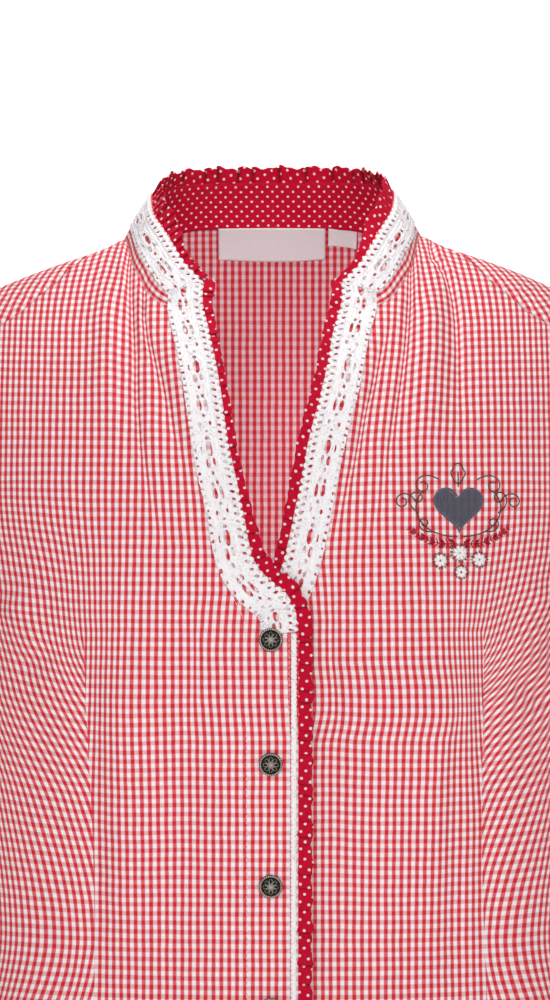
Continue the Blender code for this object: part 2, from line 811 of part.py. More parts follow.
def tag(name, x_range, drop, bow, sheets, back, finish):
    """A woven tag hanging from the back neck seam, on the inside of the back."""
    middle = back.shape[1] // 2
    neck = back[-1, middle - NECK_COLUMNS : middle + NECK_COLUMNS + 1]
    xs = np.linspace(*x_range, 9)
    top = np.stack([xs] + [np.interp(xs, neck[:, 0], neck[:, k]) for k in (1, 2)], axis=-1)
    rows = []
    for part in np.linspace(0, 1, 5):
        down = 1.4 + part * (drop + bow * (1 - (2 * (xs - xs.mean()) / np.ptp(xs)) ** 2))
        row = top.copy()
        row[:, 2] -= down
        for point in row:
            near = sheets.ray_cast(Vector((point[0], 0, point[2])), Vector((0, 1, 0)), FAR)
            point[1] = near[0].y if near[0] is not None else point[1]
        rows.append(row)
    grid = np.array(rows)
    inward = grid_normals(grid, np.broadcast_to((0.0, -1.0, 0.0), grid.shape))
    grid = seated(grid + inward * TAG_LIFT, inward, sheets, TAG_LIFT)
    return wall(name, grid + inward * TAG_THICKNESS, grid, finish)


def strip(name, columns_x, z_top, z_bottom, sheets, finish):
    """A narrow strip down the placket."""
    zs = np.linspace(z_top, z_bottom, TRIM_STEPS)
    grid = np.zeros((TRIM_STEPS, len(columns_x), 3))
    for i, z in enumerate(zs):
        for j, x in enumerate(columns_x):
            hit = sheets.ray_cast(Vector((x, -FAR, z)), Vector((0, 1, 0)), 2 * FAR)
            grid[i, j] = (x, hit[0].y, z)
    out = grid_normals(grid, np.broadcast_to((0.0, -1.0, 0.0), grid.shape))
    grid = seated(grid + out * LACE_LIFT, out, sheets, LACE_LIFT)
    return wall(name, grid + out * LACE_THICKNESS, grid, finish)


def main():
    clear_scene()
    gingham = material("checked_cotton", (0.80, 0.22, 0.27))
    dotted = material("dotted_cotton", (0.55, 0.02, 0.06))
    thread = material("lace_thread", (0.90, 0.88, 0.85), 0.75)
    metal = material("dark_metal", (0.22, 0.20, 0.18), 0.35, 1.0)
    tape = material("woven_tape", (0.86, 0.86, 0.84), 0.7)

    right, right_normal = front_grid(-1)
    left, left_normal = front_grid(1)
    back, back_normal = back_grid()
    straighten_odd(right[-1])
    straighten_odd(left[-1])

    wall("front_right", right, inside(right, right_normal, CLOTH), gingham)
    wall("front_left", left, inside(left, left_normal, CLOTH), gingham)
    wall("back", back, inside(back, back_normal, CLOTH), gingham)

    for name, front, normal, edge in (
        ("sleeve_right", right, right_normal, 0),
        ("sleeve_left", left, left_normal, -1),
    ):
        outer, inner = sleeve_grid(front[:, -1], normal[:, -1], back[:, edge], back_normal[:, edge])
        wall(name, outer, inner, gingham, ring=True)

    collar = collar_grids(right, left, back)
    away = collar - np.array([0.0, 5.0, 0.0])
    away[..., 2] = 0
    collar_out = grid_normals(collar, away)
    facing = inside(collar, collar_out, CLOTH + SEAM_GAP)
    wall("collar_stand", collar, inside(collar, collar_out, CLOTH), gingham)
    wall("collar_facing", facing, inside(facing, collar_out, TRIM_CLOTH), dotted)

    up = collar[-1] - collar[0]
    ruffle("ruffle_collar", collar[-1], collar_out[-1], up, COLLAR_RUFFLE_WAVE, dotted)

    middle = collar.shape[1] // 2
    corner = LOW_ROWS + V_ROWS
    for name, front, normal, from_middle, end, last_row in (
        ("right", right, right_normal, slice(middle, None, -1), 0, None),
        ("left", left, left_normal, slice(middle, None), -1, LOW_ROWS - 2),
    ):
        to_centre = np.array([np.sign(middle - (end % collar.shape[1])), 0.0, 0.0])
        start = collar[0, end] * 0.2 + collar[-1, end] * 0.8
        down = slice(corner - 1, last_row, -1)
        edge = np.concatenate([[start, collar[0, end]], front[down, 0]])
        out = np.concatenate([collar_out[[1, 0], end], normal[down, 0]])
        aim = np.broadcast_to(to_centre, edge.shape)
        ruffle("ruffle_" + name, edge, out, aim, EDGE_RUFFLE_WAVE, dotted)

        down = slice(corner - 1, LOW_ROWS - 1, -1)
        line = np.concatenate([collar[-1, from_middle], collar[:1, end], front[down, 0]])
        out = np.concatenate([collar_out[-1, from_middle], collar_out[:1, end], normal[down, 0]])
        aim = np.concatenate([-up[from_middle], np.broadcast_to(-to_centre, (1 + V_ROWS, 3))])
        line[0] += (line[1] - line[0]) / np.linalg.norm(line[1] - line[0]) * SEAM_GAP / 2
        line[-1] = (line[-1] + line[-2]) / 2
        lace("lace_" + name, smoothed(line, 1), out, aim, outer_sheets([front, collar]), thread)

    sheets = outer_sheets([right])
    edge = PLACKET_EDGE_X - TRIM_INSET
    strip("placket_trim", (edge - TRIM_WIDTH, edge), TRIM_TOP_Z, HEM_Z + 1.0, sheets, thread)
    for k in range(BUTTON_COUNT):
        z = FIRST_BUTTON_Z - k * BUTTON_SPACING
        hit = sheets.ray_cast(Vector((BUTTON_X, -FAR, z)), Vector((0, 1, 0)), 2 * FAR)
        out = np.array(hit[1]) * (1 if hit[1].y < 0 else -1)
        button(f"button_{k + 1}", np.array(hit[0]) + out * BUTTON_LIFT, out, metal)

    back_inside = outer_sheets([inside(back, back_normal, CLOTH)])
    tag("neck_label", LABEL_SPAN, LABEL_DROP, LABEL_BOW, back_inside, back, tape)
    tag("size_tag", SIZE_TAG_SPAN, SIZE_TAG_DROP, 0.0, back_inside, back, tape)


main()
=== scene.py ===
# %% [markdown]
# # A checked cotton blouse, worn
#
# The blouse is a trachten blouse: woven checked cotton, a stand collar faced with dotted
# cotton, gathered ruffles, bobbin lace round the V neck and dark metal buttons. The packed
# model is loaded first. It fixes where each piece is, and every piece below is made in
# the same place, in the same frame: +Z up, the fronts facing -Y.

import math
from collections import namedtuple
from functools import partial

import bpy
import numpy as np
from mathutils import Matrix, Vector


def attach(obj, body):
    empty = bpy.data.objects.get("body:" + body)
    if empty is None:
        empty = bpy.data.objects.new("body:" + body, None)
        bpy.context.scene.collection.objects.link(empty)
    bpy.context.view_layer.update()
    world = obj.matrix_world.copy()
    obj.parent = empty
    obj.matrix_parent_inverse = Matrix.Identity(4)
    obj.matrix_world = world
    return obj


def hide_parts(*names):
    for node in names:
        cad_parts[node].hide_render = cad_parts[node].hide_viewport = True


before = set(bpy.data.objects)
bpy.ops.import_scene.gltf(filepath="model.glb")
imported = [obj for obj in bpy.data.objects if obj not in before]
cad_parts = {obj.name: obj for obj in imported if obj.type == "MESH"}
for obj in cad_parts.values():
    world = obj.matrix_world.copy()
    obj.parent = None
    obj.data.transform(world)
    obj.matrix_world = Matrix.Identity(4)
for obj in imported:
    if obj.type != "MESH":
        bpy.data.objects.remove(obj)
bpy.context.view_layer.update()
MM = 0.001
TAU = math.tau
print("packed nodes:", len(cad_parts))

# %% [markdown]
# ## The figure that the cut is made for
#
# A blouse keeps the form of what it hangs on, so all its panels lie on one torso. The
# torso could be sculpted, but then no panel could be worked out from it. Here it is a
# formula instead: half ellipses, front and back, whose sizes are read from a short table
# of heights, and which close over the shoulders to a sloping ridge. A place on it has an
# angle round the body and a level up it. All tables are in millimetres.


# %% Tables, curves and sums
def table(names, *rows):
    """A tuple of rows whose columns have names."""
    Row = namedtuple("Row", names)
    return tuple(Row(*row) for row in rows)


def column(rows, name):
    """One named column of a table, as an array."""
    return np.array([getattr(row, name) for row in rows], float)


def through(at, xs, ys):
    """A curve through the points (xs, ys), read at the places in at: cubic pieces whose slopes are
    the weighted harmonic means of the rises beside them, and level at turning points."""
    at = np.clip(np.asarray(at, float), xs[0], xs[-1])
    step = np.diff(xs)
    rise = np.diff(ys) / step
    slope = np.zeros(len(xs))
    slope[0], slope[-1] = rise[0], rise[-1]
    same_way = rise[:-1] * rise[1:] > 0
    weight_a, weight_b = 2 * step[1:] + step[:-1], step[1:] + 2 * step[:-1]
    safe = np.where(same_way, rise[:-1] * weight_b + rise[1:] * weight_a, 1.0)
    slope[1:-1] = np.where(same_way, (weight_a + weight_b) * rise[:-1] * rise[1:] / safe, 0.0)
    i = np.clip(np.searchsorted(xs, at, side="right") - 1, 0, len(step) - 1)
    t = (at - xs[i]) / step[i]
    ends = ys[i] * (1 + 2 * t) * (1 - t) ** 2 + ys[i + 1] * t * t * (3 - 2 * t)
    return ends + step[i] * t * (1 - t) * (slope[i] * (1 - t) - slope[i + 1] * t)


def looked_up(rows, at, by, name):
    """The curve through one column of a table, read at places given in another column."""
    return through(at, column(rows, by), column(rows, name))


def eased(share):
    """0 to 1 with level ends: three times the square less twice the cube."""
    share = np.clip(share, 0.0, 1.0)
    return share * share * (3 - 2 * share)


def ramp(value, start, end):
    """Eased from 0 at start to 1 at end, which may be the lower of the two."""
    return eased((value - start) / (end - start))


def bell(away):
    """1 in the middle and a third of it one half-width away: e to minus the square."""
    return np.exp(-(away**2))


def unit(vectors):
    """Vectors made one long."""
    return vectors / np.maximum(np.linalg.norm(vectors, axis=-1, keepdims=True), 1e-9)


def summed(steps, axis=0):
    """Running totals of steps along an axis, starting at 0."""
    total = np.cumsum(steps, axis=axis)
    return np.concatenate([0 * np.take(total, [0], axis), total], axis=axis)


# %% The torso as a function of angle and level
UNDERARM_Z = -222.0
HEM_Z = -590.0
RIDGE_Y = 12.0
SHOULDER_HALF_WIDTH = 212.0
SHOULDER_ROUNDNESS = 0.62
FRONT_FALL, BACK_FALL = 1.3, 0.65
LEFT_LIFT, RIGHT_LIFT = 4.6, 2.4
SECTIONS = table(
    "z half_width front back roundness",
    (-590, 204, 117, 104, 0.86),
    (-500, 196, 110, 98, 0.86),
    (-410, 179, 101, 86, 0.86),
    (-330, 182, 112, 92, 0.86),
    (-260, 189, 121, 100, 0.84),
    (UNDERARM_Z, 190, 119, 104, 0.82),
)
RIDGE = table(
    "x front back",
    (0, 12, 36), (45, 10, 30), (75, 8, 15), (91, 5, 5), (104, -1, -1), (130, -10, -10),
    (165, -23, -23), (200, -36, -36), (216, -44, -44),
)  # fmt: skip


def ridge_height(x, on_back):
    """The height of the shoulder ridge at x. The worn blouse sits a little higher on the wearer's
    left shoulder than on the right."""
    away = np.abs(x)
    lift = np.where(x > 0, LEFT_LIFT, RIGHT_LIFT) * ramp(away, 55, 90) * ramp(away, 214, 144)
    front, back = (looked_up(RIDGE, away, "x", name) for name in ("front", "back"))
    return np.where(on_back, back, front) + lift


def half_width_at(level):
    """Half the torso's width. A level under 0 is millimetres below the underarm, and from 0 to 1
    it rises to the ridge."""
    low = looked_up(SECTIONS, UNDERARM_Z + np.minimum(level, 0), "z", "half_width")
    return low + (SHOULDER_HALF_WIDTH - SECTIONS[-1].half_width) * eased(level)


def torso(angle, level):
    """Points of the torso: x is the half width times the sine of the angle, y the depth times a
    power of its cosine, and above the underarm both close over a quarter turn to the ridge.
    The angle is 0 in front and 180 behind. A level over 1 has passed the ridge."""
    angle, level = np.broadcast_arrays(np.asarray(angle, float), np.asarray(level, float))
    over = level > 1
    angle = np.where(over, np.sign(angle) * 180 - angle, angle)
    level = np.where(over, 2 - level, level)
    turn = np.radians(angle)
    cosine = np.cos(turn)
    on_back = cosine < 0
    low = UNDERARM_Z + np.minimum(level, 0)
    names = ("front", "back", "roundness")
    front, back, roundness = (looked_up(SECTIONS, low, "z", name) for name in names)
    up = np.clip(level, 0, 1)
    roundness = roundness + (SHOULDER_ROUNDNESS - roundness) * eased(up * 1.5)
    x = half_width_at(level) * np.sin(turn)
    y = np.where(on_back, back, -front) * np.maximum(np.abs(cosine), 1e-9) ** roundness
    quarter = up * math.pi / 2
    fall = np.maximum(np.cos(quarter), 0) ** np.where(on_back, BACK_FALL, FRONT_FALL)
    y = np.where(up > 0, RIDGE_Y * (1 - fall) + y * fall, y)
    high = UNDERARM_Z + (ridge_height(x, on_back) - UNDERARM_Z) * np.sin(quarter)
    return np.stack([x, y, np.where(up > 0, high, low)], axis=-1)


def torso_normal(angle, level):
    """The direction out of the torso, from small steps round it and up it."""
    angle, level = np.broadcast_arrays(np.asarray(angle, float), np.asarray(level, float))
    turn, step = 0.6, np.where(level < 0, 2.0, 0.008)
    across = torso(angle + turn, level) - torso(angle - turn, level)
    return unit(np.cross(across, torso(angle, level + step) - torso(angle, level - step)))


def level_of(x, z, on_back=False):
    """The level of the front or back point at (x, z): the inverse of the quarter turn."""
    x, z = np.asarray(x, float), np.asarray(z, float)
    rise = (z - UNDERARM_Z) / (ridge_height(x, on_back) - UNDERARM_Z)
    above = np.arcsin(np.clip(rise, 0, 1)) * 2 / math.pi
    return np.where(z <= UNDERARM_Z, z - UNDERARM_Z, above)


def angle_of(x, level):
    """The angle of the front point at x."""
    return np.degrees(np.arcsin(np.clip(x / half_width_at(level), -1, 1)))


BUST_LEVEL = -20.0
print("torso at the bust:", np.round(torso([-90, 0, 90, 180], BUST_LEVEL)[:, :2].ravel()))

# %% [markdown]
# ## Folds
#
# Worn cotton is never a plain cylinder. The bust pushes it out, a dart draws a line up to
# the bust, and soft folds hang from the neck and lean towards the darts. Each is a
# ridge or a trough along a straight line, rounded across and fading at its ends, and the
# table has one row for each, placed where it shows. Cloth simulation was the other
# way. It would drape the cloth freely, but these folds are pressed and pinned by seams.

# %% Tables of folds
FOLD = "top_x top_z bottom_x bottom_z depth half_width"
FRONT_FOLDS = table(
    FOLD,
    (-85, -12, -80, -150, -3.0, 7), (-77, -40, -46, -150, -3.2, 8), (-62, -50, -40, -160, 2.0, 9),
    (-98, -12, -100, -120, 2.2, 9), (84, -12, 72, -150, -3.6, 7), (74, -40, 40, -160, -3.2, 8),
    (95, -15, 88, -150, 2.4, 9), (108, -12, 112, -120, -2.2, 8), (-104, -214, -103, -480, -3.0, 9),
    (121, -214, 128, -480, -3.0, 9), (-86, -230, -84, -460, 2.5, 16),
    (100, -230, 98, -440, 2.5, 15), (106, -262, 108, -480, -3.0, 8),
    (-50, -210, -52, -420, -2.2, 12), (35, -200, 36, -430, -2.2, 10),
    (-150, -252, -120, -238, -3.0, 8), (164, -275, 134, -250, -3.0, 8),
    (-160, -205, -118, -262, 4.0, 13), (168, -200, 132, -262, 4.0, 13),
)  # fmt: skip
BACK_FOLDS = table(
    FOLD,
    (-60, -250, -70, -560, -4.0, 14), (58, -240, 72, -560, -4.0, 14),
    (-8, -300, -6, -570, 3.0, 20), (-120, -60, -70, -200, -3.0, 12), (118, -60, 72, -205, -3.0, 12),
)  # fmt: skip
BUST_X, BUST_Z, BUST_DEPTH, BUST_HALF_WIDTH, BUST_HALF_HEIGHT = 92, -252, 7, 58, 66
OVERLAP_DIP = 5.6
CLOTH = 1.2

line = partial(table, "x z take")
PRESSED = table(
    "side half_width places",
    (1, 2.0, line((53.6, -187, 0), (62.4, -152, 1.5), (69.3, -117, 2.8), (74, -94, 4),
                  (80.3, -53, 6), (83.8, -10, 7))),
    (1, 2.2, line((110, -117, 0), (111, -94, 1.5), (111, -59, 4), (110, -36, 5),
                  (105.9, -18.6, 5.5), (97.2, -4, 6))),
    (1, 1.8, line((36.3, -175, 0), (43.8, -146, 3), (50.8, -120, 5), (54.8, -100, 5.5),
                  (60, -82, 5), (64.1, -65, 3.5), (68.2, -53, 2), (72.2, -36, 0.5))),
    (-1, 2.0, line((62.4, -181, 0), (71, -152, 2), (78, -117, 4), (80.9, -94, 4.5),
                   (82.1, -65, 5), (83.8, -48, 5), (85.6, -30, 5), (87.3, -14, 5))),
    (-1, 1.8, line((42, -158, 0), (51.9, -129, 1), (59.5, -106, 2), (63.5, -88, 3.5),
                   (67, -77, 4.5), (71, -65, 5.5), (75.1, -53, 6), (76.9, -42, 6))),
    (-1, 2.6, line((49, -290, 0), (46, -262, 1.6), (45, -235, 2.0), (47, -205, 0))),
    (1, 2.6, line((106, -292, 0), (107, -275, 2.2), (106, -262, 1.8), (105, -245, 0))),
    (1, 3.0, line((40, -300, 0), (37, -262, 2.2), (35, -225, 2.4), (36, -190, 0))),
)  # fmt: skip


# %% Folds as heights on the torso
def fold_relief(x, z, folds):
    """Each fold's depth times a bell curve of the distance from its line, faded at both ends."""
    total = 0.0
    for fold in folds:
        run_x, run_z = fold.bottom_x - fold.top_x, fold.bottom_z - fold.top_z
        length = np.hypot(run_x, run_z)
        share = ((x - fold.top_x) * run_x + (z - fold.top_z) * run_z) / length**2
        aside = ((x - fold.top_x) * run_z - (z - fold.top_z) * run_x) / length
        fade = ramp(share, 0, 0.25) * ramp(share, 1, 0.55)
        total = total + fold.depth * fade * bell(aside / fold.half_width)
    return total


def pressed_line(fold, z):
    """Where a pressed fold is at height z, and how much cloth it takes in there."""
    return (looked_up(fold.places, z, "z", name) for name in ("x", "take"))


def pressed_relief(x, z):
    """A narrow trough along each pressed fold with a low ridge on its outer side."""
    total = 0.0
    for fold in PRESSED:
        place, take = pressed_line(fold, z)
        away = (x * fold.side - place) / fold.half_width
        total = total + take * (0.26 * bell(away - 1.5) - 0.36 * bell(away))
    return total


def relief(points, on_front, left_front):
    """How far the cloth stands off the torso. The left front dips where it runs under the right."""
    x, z = points[..., 0], points[..., 2]
    if not on_front:
        return fold_relief(x, z, BACK_FOLDS)
    height = fold_relief(x, z, FRONT_FOLDS) + pressed_relief(x, z)
    up = (z - BUST_Z) / BUST_HALF_HEIGHT
    for side in (-1, 1):
        height = height + BUST_DEPTH * bell((x - side * BUST_X) / BUST_HALF_WIDTH) * bell(up)
    if left_front:
        height = height - OVERLAP_DIP * ramp(x, 70, 28) * ramp(z, -105, -175)
    return height


def cloth(angle, level, seam_fade, on_front=True, left_front=False):
    """The cloth's outer points and the directions out of it: the torso moved out by the relief,
    which fades towards the side seams."""
    base, normal = torso(angle, level), torso_normal(angle, level)
    from_middle = np.abs(np.abs(angle) - (0 if on_front else 180))
    fade = seam_fade * ramp(from_middle, 90, 76)
    return base + normal * (relief(base, on_front, left_front) * fade)[..., None], normal


def front_at(x, z, left=True, lift=0.0):
    """Points and directions on a front's outer face at places (x, z), for what is sewn on it."""
    x, z = np.broadcast_arrays(np.asarray(x, float), np.asarray(z, float))
    level = level_of(x, z)
    points, normal = cloth(angle_of(x, level), level, ramp(level, 1, 0.88), True, left)
    return points + normal * lift, normal


print("folds:", len(FRONT_FOLDS) + len(BACK_FOLDS), "and pressed:", len(PRESSED))

# %% [markdown]
# ## Weave and print as shader groups
#
# Reading it from a picture would tie it to one size. A node group works it out from the
# piece's own UV map instead, which measures the cloth in metres, so the check has its real
# size on each panel. The same group draws the threads themselves as a fine height.


# %% Helpers for node groups
def put(tree, socket, value):
    """Links an output to a socket, or sets the socket's value."""
    if isinstance(value, bpy.types.NodeSocket):
        tree.links.new(value, socket)
    elif value is not None:
        socket.default_value = value


def new_group(name, inputs, outputs):
    """An empty shader group. A socket is given as its kind, or as a number: a float's default."""
    group = bpy.data.node_groups.new(name, "ShaderNodeTree")
    for way, sockets in (("INPUT", inputs), ("OUTPUT", outputs)):
        for label, given in sockets.items():
            kind = given if isinstance(given, str) else "Float"
            kind = "NodeSocket" + kind
            socket = group.interface.new_socket(label, in_out=way, socket_type=kind)
            if not isinstance(given, str):
                socket.default_value = given
    given, out = group.nodes.new("NodeGroupInput"), group.nodes.new("NodeGroupOutput")
    return group, given.outputs, out.inputs


def maths(tree, operation, *values):
    node = tree.nodes.new("ShaderNodeMath")
    node.operation = operation
    for socket, value in zip(node.inputs, values):
        put(tree, socket, value)
    return node.outputs[0]


def smooth_range(tree, value, low, high, to_low=0.0, to_high=1.0):
    """The value between low and high, eased, as a place between two others."""
    node = tree.nodes.new("ShaderNodeMapRange")
    node.interpolation_type = "SMOOTHSTEP"
    for socket, given in zip(node.inputs, (value, low, high, to_low, to_high)):
        put(tree, socket, given)
    return node.outputs[0]


def colour_mix(tree, factor, a, b, blend="MIX"):
    node = tree.nodes.new("ShaderNodeMix")
    node.data_type = "RGBA"
    node.blend_type = blend
    for label, value in (("Factor", factor), ("A", a), ("B", b)):
        put(tree, node.inputs[label], value)
    return node.outputs["Result"]


def noise(tree, vector, scale, detail=2.0, roughness=0.5):
    node = tree.nodes.new("ShaderNodeTexNoise")
    values = {"Vector": vector, "Scale": scale, "Detail": detail, "Roughness": roughness}
    for label, value in values.items():
        put(tree, node.inputs[label], value)
    return node.outputs["Fac"]


def split(tree, vector):
    """The first two parts of a vector."""
    node = tree.nodes.new("ShaderNodeSeparateXYZ")
    put(tree, node.inputs[0], vector)
    return node.outputs[0], node.outputs[1]


# %% The plain weave
def plain_weave_group():
    """Height of a plain weave: warp and weft threads are round across, and each passes over and
    under the other in turn, so the product of two waves picks which is on top."""
    sockets = {"Vector": "Vector", "Thread": 0.00036}
    group, given, out = new_group("PlainWeave", sockets, {"Height": "Float", "Slub": "Float"})
    m = partial(maths, group)
    waves = [
        m("SINE", m("MULTIPLY", m("DIVIDE", place, given["Thread"]), TAU))
        for place in split(group, given["Vector"])
    ]
    slub = noise(group, given["Vector"], 900.0, 3.0, 0.6)
    put(group, out["Height"], m("ADD", m("MULTIPLY", m("MULTIPLY", *waves), 0.5), slub))
    put(group, out["Slub"], slub)
    return group


PLAIN_WEAVE = plain_weave_group()


# %% The woven check
def check_group():
    """Colour of a woven check: along each axis a stripe mask is 1 over half the repeat, with soft
    edges. The warp mask and the weft mask pick one of four colours between them."""
    sockets = {"Vector": "Vector", "Width": 0.0046, "Height": 0.0054}
    sockets |= dict.fromkeys(("Both Red", "Warp Red", "Weft Red", "Ground"), "Color")
    group, given, out = new_group("WovenCheck", sockets, {"Colour": "Color"})
    m = partial(maths, group)
    vector = given["Vector"]
    u, v = split(group, vector)
    sway = m("MULTIPLY", m("SUBTRACT", noise(group, vector, 70.0), 0.5), 0.0007)
    masks = []
    for place, size, soft in ((u, "Width", 0.075), (v, "Height", 0.09)):
        wave = m("PINGPONG", m("DIVIDE", m("ADD", place, sway), given[size]), 0.5)
        masks.append(smooth_range(group, wave, 0.25 - soft, 0.25 + soft))
    warp, weft = masks
    red = colour_mix(group, weft, given["Warp Red"], given["Both Red"])
    white = colour_mix(group, weft, given["Ground"], given["Weft Red"])
    shade = smooth_range(group, noise(group, vector, 1500.0, 1.0), 0.3, 0.7, 0.93, 1.05)
    colour = colour_mix(group, warp, white, red)
    put(group, out["Colour"], colour_mix(group, 1.0, colour, shade, "MULTIPLY"))
    return group


WOVEN_CHECK = check_group()


# %% The printed dots
def dots_group():
    """Mask of printed dots: every second row is shifted by half the spacing, and a dot is where
    the distance to the nearest dot's middle is under its radius."""
    sockets = {"Vector": "Vector", "Spacing": 0.0066, "Row": 0.0037, "Radius": 0.00078}
    group, given, out = new_group("PrintedDots", sockets, {"Dot": "Float"})
    m = partial(maths, group)
    u, v = split(group, given["Vector"])
    rows = m("DIVIDE", v, given["Row"])
    odd = m("MULTIPLY", m("FLOORED_MODULO", m("FLOOR", rows), 2.0), 0.5)
    steps = m("ADD", m("DIVIDE", u, given["Spacing"]), odd)
    squares = []
    for place, size in ((steps, "Spacing"), (rows, "Row")):
        away = m("MULTIPLY", m("SUBTRACT", m("FRACT", place), 0.5), given[size])
        squares.append(m("MULTIPLY", away, away))
    away = m("DIVIDE", m("SQRT", m("ADD", *squares)), given["Radius"])
    put(group, out["Dot"], smooth_range(group, away, 0.8, 1.15, 1.0, 0.0))
    return group


PRINTED_DOTS = dots_group()


# %% The lace's pores
def lace_group():
    """Mask of the pores of fine lace: where a noise at the size of the meshes, stretched by a
    second one, is low, the cloth below shows through as a tint."""
    sockets = {"Vector": "Vector", "Mesh Size": 0.0011}
    group, given, out = new_group("LacePores", sockets, {"Pores": "Float"})
    m = partial(maths, group)
    fine = noise(group, given["Vector"], m("DIVIDE", 1.0, given["Mesh Size"]), 1.5, 0.7)
    broad = noise(group, given["Vector"], 260.0, 1.0)
    level = m("ADD", fine, m("MULTIPLY", broad, 0.35))
    put(group, out["Pores"], smooth_range(group, level, 0.43, 0.62, 1.0, 0.0))
    return group


LACE_PORES = lace_group()
print("shader groups:", [g.name for g in bpy.data.node_groups])

# %% [markdown]
# ## The finishes
#
# Each finish is a Principled shader with a group or two in front of it. Cotton is matt with
# a faint sheen at grazing angles. The metal of the buttons is dark where it is low and
# bright where it has been rubbed, and that height is stored on the mesh, so the finish only
# reads it.


# %% Helpers for finishes
def finish(name, roughness, metallic=0.0, sheen=0.0):
    """A material with its shader, and the piece's own UV map."""
    made = bpy.data.materials.new(name)
    made.use_nodes = True
    tree = made.node_tree
    shader = tree.nodes["Principled BSDF"]
    shader.inputs["Roughness"].default_value = roughness
    shader.inputs["Metallic"].default_value = metallic
    shader.inputs["Sheen Weight"].default_value = sheen
    shader.inputs["Sheen Roughness"].default_value = 0.4
    shader.inputs["Specular IOR Level"].default_value = 0.5 if metallic else 0.12
    uv = tree.nodes.new("ShaderNodeUVMap")
    uv.uv_map = "cloth"
    return made, tree, shader, uv.outputs[0]


def bumped(tree, shader, height, distance, strength):
    bump = tree.nodes.new("ShaderNodeBump")
    bump.inputs["Distance"].default_value = distance
    bump.inputs["Strength"].default_value = strength
    put(tree, bump.inputs["Height"], height)
    put(tree, shader.inputs["Normal"], bump.outputs[0])


def use(tree, group, vector, **values):
    """Places a group in a material and sets its inputs by name."""
    node = tree.nodes.new("ShaderNodeGroup")
    node.node_tree = group
    put(tree, node.inputs["Vector"], vector)
    for label, value in values.items():
        put(tree, node.inputs[label.replace("_", " ")], value)
    return node.outputs


def stored(tree, name):
    """A value that is stored on the mesh's points."""
    node = tree.nodes.new("ShaderNodeAttribute")
    node.attribute_name = name
    return node.outputs["Fac"]


def checked_cotton(name, **colours):
    made, tree, shader, uv = finish(name, 0.82, sheen=0.06)
    put(tree, shader.inputs["Base Color"], use(tree, WOVEN_CHECK, uv, **colours)["Colour"])
    bumped(tree, shader, use(tree, PLAIN_WEAVE, uv)["Height"], 0.00010, 0.5)
    return made


def dotted_cotton(name, red, dot):
    """Printed cotton with painted shade: a stored value darkens it where it lies in a tuck's
    groove.
    """
    made, tree, shader, uv = finish(name, 0.85, sheen=0.02)
    dots, weave = use(tree, PRINTED_DOTS, uv), use(tree, PLAIN_WEAVE, uv)
    shade = smooth_range(tree, weave["Slub"], 0.3, 0.7, 0.9, 1.08)
    ground = colour_mix(tree, 1.0, red, shade, "MULTIPLY")
    colour = colour_mix(tree, dots["Dot"], ground, dot)
    # painted shade: the red at a sixth of its brightness, mixed in along each tuck's groove
    fold_shade_colour = [0.16 * c for c in red[:3]] + [1]
    colour = colour_mix(tree, stored(tree, "painted_crease_shade"), colour, fold_shade_colour)
    put(tree, shader.inputs["Base Color"], colour)
    bumped(tree, shader, weave["Height"], 0.00012, 0.6)
    return made


def thread(name, colour, roughness=0.65, grain=2600.0):
    """Twisted yarn: fine noise darkens it a little and roughens its surface."""
    made, tree, shader, _ = finish(name, roughness, sheen=0.1)
    place = tree.nodes.new("ShaderNodeTexCoord").outputs["Object"]
    fuzz = noise(tree, place, grain, 2.0, 0.6)
    shade = smooth_range(tree, fuzz, 0.3, 0.7, 0.88, 1.06)
    put(tree, shader.inputs["Base Color"], colour_mix(tree, 1.0, colour, shade, "MULTIPLY"))
    bumped(tree, shader, fuzz, 0.00012, 0.8)
    return made


def lace_thread(name, colour, tint):
    """White yarn whose pores show a tint of the cloth below."""
    made, tree, shader, uv = finish(name, 0.8)
    pores = use(tree, LACE_PORES, uv)["Pores"]
    put(tree, shader.inputs["Base Color"], colour_mix(tree, pores, colour, tint))
    height = maths(tree, "SUBTRACT", noise(tree, uv, 1900.0, 2.0, 0.6), pores)
    bumped(tree, shader, height, 0.00025, 0.9)
    return made


# %% Finishes
CHECK_OUT = checked_cotton(
    "checked_cotton",
    Both_Red=(0.62, 0.016, 0.030, 1),
    Warp_Red=(0.71, 0.125, 0.150, 1),
    Weft_Red=(0.75, 0.42, 0.43, 1),
    Ground=(0.89, 0.82, 0.84, 1),
)
# the inner face: the same check made darker and pinker, as painted shade
CHECK_PAINTED_SHADE = checked_cotton(
    "checked_cotton_inside_painted_shade",
    Both_Red=(0.64, 0.022, 0.036, 1),
    Warp_Red=(0.71, 0.090, 0.115, 1),
    Weft_Red=(0.76, 0.40, 0.43, 1),
    Ground=(0.88, 0.70, 0.77, 1),
)
DOTTED = dotted_cotton("dotted_cotton", (0.51, 0.0022, 0.026, 1), (0.80, 0.66, 0.70, 1))
LACE_THREAD = lace_thread("lace_thread", (0.88, 0.855, 0.87, 1), (0.70, 0.50, 0.53, 1))
SEWING_THREAD = thread("sewing_thread", (0.88, 0.87, 0.86, 1))
TAPE = thread("woven_tape", (0.83, 0.81, 0.83, 1), 0.6)
print("finishes:", len(bpy.data.materials))

# %% [markdown]
# ## Turning a grid of points into cloth
#
# Each sheet is a grid: rows run up the cloth and columns across it. The mesh is built
# from whole arrays. Each corner of a face has its own UV, because at a dart the check
# stops on one side and starts again, displaced, on the other. A Solidify modifier then gives
# the sheet its thickness, and on checked cloth its second face takes a darker, pinker copy
# of the check as painted shade.


# %% Grids to meshes
def as_object(name, points, faces, *materials):
    mesh = bpy.data.meshes.new(name)
    faces = faces if isinstance(faces, list) else faces.tolist()
    mesh.from_pydata((np.asarray(points) * MM).tolist(), [], faces)
    for made in materials:
        mesh.materials.append(made)
    mesh.shade_smooth()
    obj = bpy.data.objects.new(name, mesh)
    bpy.context.scene.collection.objects.link(obj)
    return obj


